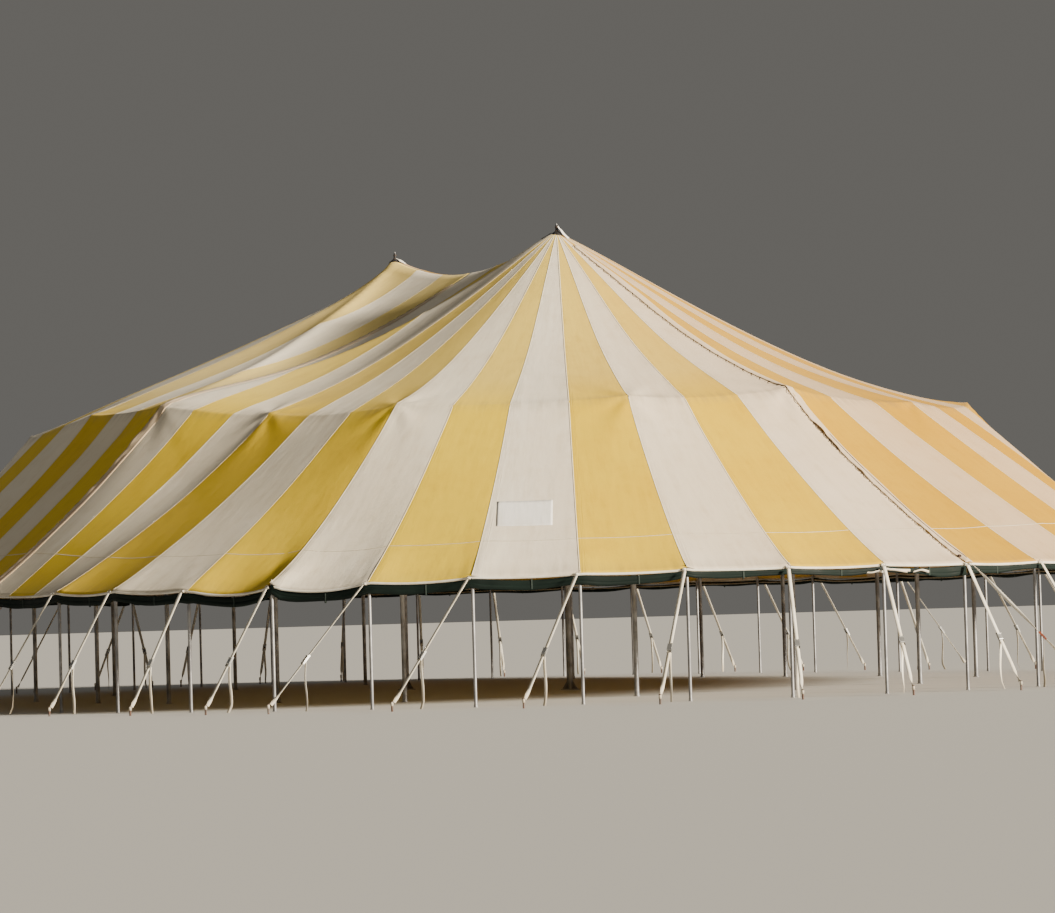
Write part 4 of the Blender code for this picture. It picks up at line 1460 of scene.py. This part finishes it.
def slope_strip(end, bearing, reaches, heights, widths):
    """A strip that hangs down one slope. heights are above the cloth under it."""
    way = np.array([math.cos(bearing), math.sin(bearing), 0])
    aside = np.array([-way[1], way[0], 0])
    centre = np.array([ENDS[end] * HALF_RIDGE, 0, 0])
    rows = []
    for i, reach in enumerate(np.linspace(reaches[0], reaches[-1], 15)):
        height, width = np.interp(reach, reaches, heights), np.interp(reach, reaches, widths)
        row = []
        for share in np.linspace(-0.5, 0.5, 9):
            spot = centre + way * reach + aside * width * share
            side = "left" if spot[1] < 0 else "right"
            flute = 0.008 * math.sin(share * 11 + i * 0.35) * min(1, i / 5)
            under = cloth_under("front" if spot[0] > 0 else "back", side, Vector(spot))
            row.append((spot[0], spot[1], under + height + flute * (height > 0.02) + 0.004))
        rows.append(row)
    return np.array(rows)


def peak(end):
    """The boot with its cord and the dark strip of painted shadow as one piece, and the white flap."""
    name = f"peak_boot_{end}"
    centre = (ENDS[end] * HALF_RIDGE, 0, PEAK_HEIGHT + 0.004)
    turns = np.linspace(0, 2 * math.pi, 49)
    skin = folded_shell(centre, BOOT_PROFILE, turns, (9, 5, 14), 0.004, 3)
    boot = shell_mesh(name, skin, BOOT)
    around = np.stack([np.cos(turns), np.sin(turns), 0 * turns], -1) * BOOT_CORD_REACH
    rounds = [around + centre + UPRIGHT * height for height in BOOT_CORD_HEIGHTS]
    cord = cords("boot_cord", rounds, DARK_ROPE, BOOT_CORD_RADIUS)
    # painted shadow: a dark strip down the slope beside the boot
    dark = slope_strip(end, FLAP_BEARINGS["dark"], (0.09, 0.2, 0.34), (0.03, 0.012, 0.008),
                       (0.10, 0.12, 0.07))
    dark = shell_mesh("dark_flap", dark, BOOT)
    white = slope_strip(end, FLAP_BEARINGS["white"], (0.032, 0.07, 0.16, 0.28), WHITE_HEIGHTS[end],
                        (0.035, 0.06, 0.085, 0.10))
    white = shell_mesh(f"peak_flap_{end}", white, NEW_WHITE)
    boot = dress(joined(name, [boot, cord, dark]), "cap_leather", f"peak_cap_{end}")
    flap = dress(new_piece(f"peak_flap_{end}", white), "canopy_canvas")
    return [thick(piece, BOOT_THICKNESS) for piece in (boot, flap)]


for end in ENDS:
    print("made", [piece.name for piece in peak(end)])

# %% [markdown]
# ## Rolled walls
# On a warm day the side walls are rolled up and tied under the eave. A roll is one sheet
# wound on itself, so its section is a flattened spiral that is swept along the eave. It sags
# between its ties and the turns ripple, which a plain bar wouldn't show.

# %% Wall canvas
ROLL_TURNS = {"left": 7.25, "right": 10.25}  # so that each wall unrolls to about 2.3 m
ROLL_POINTS = 12  # in each turn
ROLL_HALF_DEPTH = 0.088
ROLL_HALF_THICKNESS = 0.0125
ROLL_CORE = 0.18  # of the roll's half thickness, left inside the last turn
ROLL_INSET = 0.018
ROLL_TOP = 0.034  # below the cloth
ROLL_SAG = 0.03
ROLL_RIPPLE = 0.0011
WALL_THICKNESS = 0.0008
# painted shade: the wall's green is much darker than its own colour, for the shade under the eave
WALL_GREEN_IN_PAINTED_SHADE, WALL_FADED_IN_PAINTED_SHADE = (0.0022, 0.0072, 0.0055), (0.005, 0.013, 0.010)
ROLL_COLUMNS = 12  # in each gore
ROLL_FULLNESS = {  # how deep the roll hangs, by gores from the apex: it is rolled tighter at the right
    "left": ((0, 0.35, 0.6, 2.2, 4, LAST), (1, 1, 0.6, 0.65, 1, 1)),
    "right": ((0, 0.3, 0.8, LAST - 1, LAST), (1, 0.8, 0.62, 0.62, 1)),
}


def wall_material():
    made, board, shader = shader_board("dark green wall canvas")
    place = board.node("ShaderNodeTexCoord").output("Object")
    cloth = board.node("ShaderNodeUVMap", {"uv_map": "cloth"})
    blotch = noise(board, place, 1.1, 5.0, 0.6)
    crease_bump_and_painted_highlight = noise(board, stretched(board, cloth, 0.9, 22.0), 1.0, 5.0, 0.65)
    speck = noise(board, place, 60.0, 3.0, 0.7)
    colour = tinted(board, ease(board, blotch, 0.35, 0.7), WALL_GREEN_IN_PAINTED_SHADE, WALL_FADED_IN_PAINTED_SHADE)
    # painted highlight: lighter green along the creases of the roll
    colour = tinted(board, ease(board, crease_bump_and_painted_highlight, 0.52, 0.75, 0, 0.5), colour, (0.013, 0.026, 0.020))
    colour = tinted(board, ease(board, speck, 0.6, 0.8, 0, 0.2), colour, (0.03, 0.03, 0.024))
    height = crease_bump_and_painted_highlight + weave(board, cloth) * 0.01 + speck * 0.05
    finish_shader(board, shader, colour, ease(board, blotch, 0.3, 0.7, 0.55, 0.8), height, 0.006, 0.6)
    shader.inputs["Specular IOR Level"].default_value = CANVAS_GLOSS
    return made


WALL_CANVAS = wall_material()


def roll_section(turns):
    """(inset, drop) of the wound sheet from its middle, and how far along the sheet each is."""
    turn = np.linspace(0, turns, int(turns * ROLL_POINTS) + 1)
    angle = 2 * math.pi * turn
    pitch = ROLL_HALF_THICKNESS * (1 - ROLL_CORE) / turns
    depth = ROLL_HALF_DEPTH - pitch * turn
    thickness = ROLL_HALF_THICKNESS - pitch * turn
    inset = thickness * np.sign(np.cos(angle)) * np.abs(np.cos(angle)) ** 0.55
    return inset, depth * np.sin(angle), turn


def rolled_wall(end, side):
    quarter = SURFACES[end, side]
    inset, drop, turn = roll_section(ROLL_TURNS[side])
    columns = LAST * ROLL_COLUMNS
    u = np.linspace(0.012, LAST - 0.012, columns + 1)
    phase = draw.uniform(0, 6.28, 6)
    sag = ROLL_SAG * bow(share_between(u, SIDE_SEAMS)) * (0.7 + 0.6 * np.sin(u * 1.7 + phase[0]))
    along = run_along(quarter.at(u, 2.0))
    squeeze = 1 + 0.10 * np.sin(along * 4.1 + phase[1]) * np.sin(along * 1.3 + phase[2])
    squeeze = squeeze * np.interp(u, *ROLL_FULLNESS[side])
    points = []
    for dx, dz, t in zip(inset, drop, turn):
        ripple = np.sin(along * 17 + t * 0.5 + phase[3]) + np.sin(along * 7.7 + t * 0.6 + phase[4])
        height = dz * squeeze + ROLL_HALF_DEPTH * (squeeze - 1)
        below = ROLL_TOP + ROLL_HALF_DEPTH + height + sag
        points.append(eave(quarter, u, ROLL_INSET - dx - ROLL_RIPPLE * ripple, below))
    points = np.array(points)
    around = run_along(points[:, columns // 2])
    uv = np.stack(np.meshgrid(along, around), -1)
    name = f"wall_roll_{end}_{side}"
    mesh = outward(cloth_mesh(name, points, uv))
    mesh.materials.append(WALL_CANVAS)
    piece = thick(new_piece(name, mesh), WALL_THICKNESS)
    return dress(piece, "wall_canvas", f"rolled_wall_{end}_{side}"), along[-1], around[-1]


WALLS = {quarter: rolled_wall(*quarter) for quarter in QUARTERS}
for piece, length, height in WALLS.values():
    print(piece.name, round(length, 2), "m long, unrolled", round(height, 2), "m high")

# %% Wall ties
TIE_WIDTH, TIE_THICKNESS = 0.03, 0.002
TIE_WEBBING = woven("green tie webbing", (0.008, 0.02, 0.015), (0.016, 0.03, 0.024), TIE_WIDTH / 2, mud=0)


def wall_ties(end, side):
    """A webbing loop round the roll in each gore."""
    quarter = SURFACES[end, side]
    rounds = np.linspace(0, 2 * math.pi, 25)
    x = (ROLL_HALF_THICKNESS + 0.0022) * np.sign(np.cos(rounds)) * np.abs(np.cos(rounds)) ** 0.4
    paths, ways = [], []
    for u in np.arange(0.45, LAST, 1.0):
        sag = ROLL_SAG * bow(share_between(np.array([u]), SIDE_SEAMS))[0] * 0.7
        half_depth = ROLL_HALF_DEPTH * float(np.interp(u, *ROLL_FULLNESS[side])) + 0.004
        z = half_depth * np.sign(np.sin(rounds)) * np.abs(np.sin(rounds)) ** 0.7
        line = np.full_like(rounds, u)
        path = eave(quarter, line, ROLL_INSET - x, ROLL_TOP + half_depth - z + sag)
        way = quarter.at(u + 0.02, 2.0) - quarter.at(u, 2.0)
        paths.append(path)
        ways.append(np.tile(way / np.linalg.norm(way), (len(rounds), 1)))
    name = f"wall_ties_{end}_{side}"
    mesh = ribbons(name, paths, ways, TIE_WEBBING, TIE_WIDTH, TIE_THICKNESS)
    return dress(new_piece(name, mesh), "webbing")


TIES = {quarter: wall_ties(*quarter) for quarter in QUARTERS}
print("ties", sum(len(piece.data.polygons) for piece in TIES.values()), "faces")

# %% [markdown]
# ## Guys
# From each seam a webbing strap runs from a ring on the eave band down to a ratchet and on
# to a steel stake, and what the ratchet took in hangs down from it. The straps are ribbons;
# rings, ratchets and stakes are small fittings, each modelled once and scattered.

# %% Small fittings
RATCHET_LENGTH, RATCHET_WIDTH = 0.20, 0.088
RING_SIZE, RING_WIRE = 0.040, 0.0042
RING_FLAT = 0.35  # of its size, from the middle to the flat side
STAKE_RADIUS = 0.019
STAKE_TOP = 0.18


def slab(low, high, k):
    """A block with its four long edges cut back by k."""
    (a, b, c), (d, e, f) = low, high
    ring = [(b + k, c), (e - k, c), (e, c + k), (e, f - k),
            (e - k, f), (b + k, f), (b, f - k), (b, c + k)]
    points = [(x, y, z) for x in (a, d) for y, z in ring]
    count = len(ring)
    faces = [tuple(range(count)), tuple(range(2 * count - 1, count - 1, -1))]
    faces += [(j, j + count, (j + 1) % count + count, (j + 1) % count) for j in range(count)]
    return np.array(points), faces


def rod(radius, y0, y1, x, z, sides=12):
    """A round bar across the fitting."""
    points, faces = turned([(radius, y0), (radius, y1)], sides)
    return points[:, [0, 2, 1]] + (x, 0, z), faces


def d_ring(radius, wire, sides=22, around=7):
    """A ring of wire with its back pressed flat."""
    points, faces = [], []
    for i in range(sides):
        turn = 2 * math.pi * i / sides
        for j in range(around):
            tilt = 2 * math.pi * j / around
            reach = radius + wire * math.cos(tilt)
            points.append((max(reach * math.cos(turn), -radius * RING_FLAT),
                           reach * math.sin(turn), wire * math.sin(tilt)))
            k, m = (i + 1) % sides, (j + 1) % around
            faces.append((i * around + j, k * around + j, k * around + m, i * around + m))
    return np.array(points), faces


def fitting(name, parts, finish):
    return new_piece(name, outward(solid_mesh(name, parts, finish)))


def ratchet():
    half, w = RATCHET_LENGTH / 2, RATCHET_WIDTH / 2
    parts = [slab((-half, side * w - 0.002, -0.016), (half, side * w + 0.002, 0.018), 0.001)
             for side in (-1, 1)]
    parts += [rod(0.007, -w, w, -half + 0.012, 0), rod(0.0225, -w + 0.004, w - 0.004, half * 0.35, 0.002)]
    parts += [rod(0.007, -w - 0.006, w + 0.006, half * 0.35, 0.002)]
    parts += [slab((-half * 0.7, -w + 0.004, 0.020), (half * 0.35, w - 0.004, 0.024), 0.001),
              rod(0.009, -w + 0.002, w - 0.002, -half * 0.72, 0.024),
              slab((half * 0.3, -w + 0.003, -0.012), (half * 0.95, w - 0.003, -0.008), 0.001)]
    return fitting("ratchet_pattern", parts, ZINC)


def stake():
    r = STAKE_RADIUS
    profile = [(r, 0), (r, STAKE_TOP - 0.03), (r * 1.25, STAKE_TOP - 0.026), (r * 1.3, STAKE_TOP - 0.006),
               (r * 1.05, STAKE_TOP)]
    return fitting("stake_pattern", [turned(profile, 14)], STAKE_STEEL)


PATTERNS = {"ratchet": ratchet(), "stake": stake(),
            "ring": fitting("ring_pattern", [d_ring(RING_SIZE, RING_WIRE)], ZINC)}
print({name: len(each.data.polygons) for name, each in PATTERNS.items()}, "faces in a fitting")

# %% Guys from the eave to the stakes
HOOK_MIDDLE = 0.06  # from a seam to its guy, along the eave
GUY_RUN = 1.5
GUY_SKEW = {  # how far each stake stands towards the middle of the tent, by seam
    "left": (0.15, 0.4, 0.4, 0.8, 1.0, 1.15, 1.3, 0.45, 0, 0, 0, -0.6),
    "right": (1.4, 0, 0, 0, 0, 0, 0, 0, 0, 0, 0, -0.6),
}
TURNED_STRAPS = {("front", "right", 0): 1.2}  # how far a strap turns over, as an angle
STRAP_ON_STAKE = 0.13
SLING_RADIUS = STAKE_RADIUS + 0.004
STRAP_ENDS = 0.012, 0.985  # as shares of a guy's line
DOUBLED_TO = 0.10  # how far the strap lies double below its ring
STRAP_THICKNESS = 0.004
TAIL_WIDTH, TAIL_POINTS = 0.055, 16
TAIL_CLEARANCE = 0.02  # over the level of the feet
TAIL_SWAY, TAIL_TURN = 0.03, 1.2
TAIL_CURL, TAIL_CURL_START = 0.06, 0.86
RATCHET_AT = 0.62
BAND_DEPTH = 0.042
BAND_STEPS = 14  # in each gore
RING_OUT, RING_BACK = 0.052, 0.012  # from the band to the strap's end, and from there to the ring


class Guy:
    """The line of one guy, from its ring on the eave band to its stake."""

    def __init__(self, quarter, u, skew):
        self.twist = TURNED_STRAPS.get((quarter.end, quarter.side, u), 0.0)
        eave_gore = EAVE_RADIUS * GORE_ANGLE if u < END_GORES else HALF_RIDGE / MID_GORES
        hook = (u + HOOK_MIDDLE / eave_gore) if u < LAST else LAST - HOOK_MIDDLE / eave_gore
        edge = eave(quarter, np.array([hook]), -0.008, BAND_DEPTH / 2)[0]
        root, out = quarter.ways(np.array([hook]))
        self.out = np.array([*out[0], 0])
        side = quarter.at(hook - 0.02, 2.0) - quarter.at(hook + 0.02, 2.0)
        aside = np.array([-self.out[1], self.out[0], 0])
        self.aside = -aside * np.sign(np.dot(aside, side))  # towards the mid lace
        self.start = edge + self.out * RING_OUT
        self.hook = edge
        foot = np.array([*root[0], 0]) + self.out * (EAVE_RADIUS + GUY_RUN) + self.aside * skew
        self.foot = foot
        ahead = foot - self.start
        ahead[2] = 0
        self.ahead = ahead / np.linalg.norm(ahead)
        self.across = np.cross(self.ahead, (0, 0, 1))
        self.finish = foot - self.ahead * SLING_RADIUS + (0, 0, STRAP_ON_STAKE)
        line = self.finish - self.start
        self.length = np.linalg.norm(line)
        self.along = line / self.length
        self.up = np.cross(self.across, self.along)
        self.up *= np.sign(self.up[2])
        self.half_ratchet = RATCHET_LENGTH / 2 / self.length  # as a share of the line

    def point(self, share, lift=0.0):
        return self.start + self.along * self.length * share + self.up * lift


def tail_path(guy, loose):
    """The strap's end hangs down behind the ratchet. It sways, turns and curls at its foot."""
    spool = guy.point(RATCHET_AT + guy.half_ratchet * 0.35, -0.02)
    steps = np.linspace(0, 1, TAIL_POINTS)
    drop = (spool[2] - TAIL_CLEARANCE) * steps
    sway = loose[0] * TAIL_SWAY * np.sin(steps * 4 + loose[1]) * steps
    curl = TAIL_CURL * np.maximum(steps - TAIL_CURL_START, 0) / (1 - TAIL_CURL_START) * loose[2]
    ahead = curl + 0.012 * np.sin(steps * 7 + loose[1])
    tail = spool - UPRIGHT * drop[:, None] + guy.across * sway[:, None] + guy.ahead * ahead[:, None]
    swing = loose[3] * steps[:, None] * TAIL_TURN
    return tail, guy.across * np.cos(swing) + guy.ahead * np.sin(swing)


def strap_paths(guy):
    """One guy's straps, hook loop and stake sling, each as a path and the ways across it."""
    half, (first, last) = guy.half_ratchet, STRAP_ENDS

    def turned_over(turns):
        """The way across the strap, turned about its own line."""
        return guy.across * np.cos(turns)[:, None] + guy.up * np.sin(turns)[:, None]

    shares = np.linspace(first, RATCHET_AT - half * 0.8, 12)
    upper = np.array([guy.point(share, 0.002) for share in shares])
    upper_way = turned_over(np.sin(np.linspace(0, math.pi, len(upper))) * guy.twist)
    doubled = np.array([guy.point(share, -0.003) for share in np.linspace(first, DOUBLED_TO, 5)])
    shares = np.linspace(RATCHET_AT + half * 0.5, last, 14)
    lower = np.array([guy.point(share) for share in shares])
    upright = np.clip((shares - 0.9) / 0.085, 0, 1)  # at the stake the strap stands on edge
    lower_way = turned_over(upright * math.pi / 2 + guy.twist * np.sin(upright * math.pi) * 0.5
                            + guy.twist * np.clip((shares - RATCHET_AT) * 6, 0, 1) * (1 - upright))
    sling = np.array([guy.foot + UPRIGHT * STRAP_ON_STAKE - guy.ahead * SLING_RADIUS * math.cos(t)
                      + guy.across * SLING_RADIUS * math.sin(t) for t in np.linspace(0, 2 * math.pi, 19)])
    hook_loop = np.array([guy.hook + guy.out * out + UPRIGHT * lift
                          for out, lift in ((-0.002, 0.02), (0.012, 0.016), (0.022, 0.006),
                                            (0.022, -0.006), (0.012, -0.016), (-0.002, -0.02))])
    return [(upper, upper_way), (doubled, np.tile(guy.across, (len(doubled), 1))), (lower, lower_way),
            (sling, np.tile(UPRIGHT, (len(sling), 1))),
            (hook_loop, np.tile(guy.aside, (len(hook_loop), 1)))]


def guys(end, side):
    quarter = SURFACES[end, side]
    lines = [Guy(quarter, u, skew) for u, skew in zip(SIDE_SEAMS, GUY_SKEW[side])]
    straps, tails = [], []
    for guy in lines:
        straps += strap_paths(guy)
        tails.append(tail_path(guy, draw.uniform(-1, 1, 4)))
    u = np.linspace(0.004, LAST - 0.004, LAST * BAND_STEPS)
    bands = [(eave(quarter, u, -0.0035, BAND_DEPTH / 2), np.tile(UPRIGHT, (len(u), 1)))]
    kinds = (("straps", straps, STRAP_WIDTH), ("tails", tails, TAIL_WIDTH), ("bands", bands, BAND_DEPTH))
    meshes = []
    for name, runs, width in kinds:
        paths, ways = zip(*runs)
        meshes.append(ribbons(name, paths, ways, WEBBING, width, STRAP_THICKNESS))
    spots = {"ratchet": [(g.point(RATCHET_AT), g.along, g.up) for g in lines],
             "ring": [(g.start - g.along * RING_BACK, -g.along, g.up) for g in lines],
             "stake": [(g.foot, g.ahead, (0, 0, 1)) for g in lines]}
    finishes = {"ratchet": ZINC, "red ratchet": RED_PLATE, "ring": ZINC, "stake": STAKE_STEEL}
    if (end, side) == ("front", "right"):
        spots["red ratchet"] = [spots["ratchet"].pop(0)]
    for name, rows in spots.items():
        places, aheads, ups = zip(*rows)
        guide = guide_mesh([[place] for place in places], ahead=aheads, up=ups)
        pattern = PATTERNS[name.split()[-1]]
        meshes.append(grown(name, guide, SCATTER, finishes[name], Fitting=pattern, Scale=1.0))
    return dress(joined(f"guy_straps_{end}_{side}", meshes), "webbing", f"guys_{end}_{side}")


for quarter in QUARTERS:
    made = guys(*quarter)
    print(made.name, len(made.data.polygons), "faces")
for pattern in PATTERNS.values():
    bpy.data.objects.remove(pattern, do_unlink=True)

# %% [markdown]
# ## A spare strap
# A spare length of webbing is bunched up along the roll beside the first side pole left of
# the front lace. It is four short ribbons that lie over each other and lean more and more.

# %% A spare strap
SPARE_RUNS = ((0.70, 1.0), (0.74, 1.02), (0.48, 0.67), (1.03, 1.2))  # in gores, along the eave
SPARE_WIDTH = 0.045
SPARE_POINTS = 60


def spare_strap():
    """A slack strap that is bunched up along the roll beside one side pole."""
    quarter = SURFACES["front", "left"]
    paths, ways = [], []
    for fold, (low, high) in enumerate(SPARE_RUNS):
        u = np.linspace(low, high, SPARE_POINTS)
        wave = np.sin(np.linspace(0, 4 + fold, SPARE_POINTS) + fold)
        drop = 0.10 + 0.010 * fold + 0.010 * wave + 0.05 * (share_between(u, (low, high)) - 0.5) ** 2
        lean = np.linspace(0.3, 2.2 + fold, SPARE_POINTS) * 0.5
        paths.append(eave(quarter, u, -0.030 - 0.006 * fold - 0.008 * np.abs(wave), drop))
        ways.append(quarter.level_way(u) * np.sin(lean)[:, None] * 0.7
                    + UPRIGHT * np.cos(lean * 0.5)[:, None])
    mesh = ribbons("spare_strap", paths, ways, WEBBING, SPARE_WIDTH, STRAP_THICKNESS)
    return dress(new_piece("spare_strap", mesh), "webbing")


SPARE = spare_strap()
print("spare strap", len(SPARE.data.polygons), "faces")

# %% [markdown]
# ## Sheets and size
# The canopy quarters and flaps are stretched, and a wall is a long sheet that is folded away.

# %% Sheets
for (end, side), (piece, area) in CANOPIES.items():
    [SEAMS[end, side]] + [PATCH] * ((end, side) == PATCH_QUARTER)
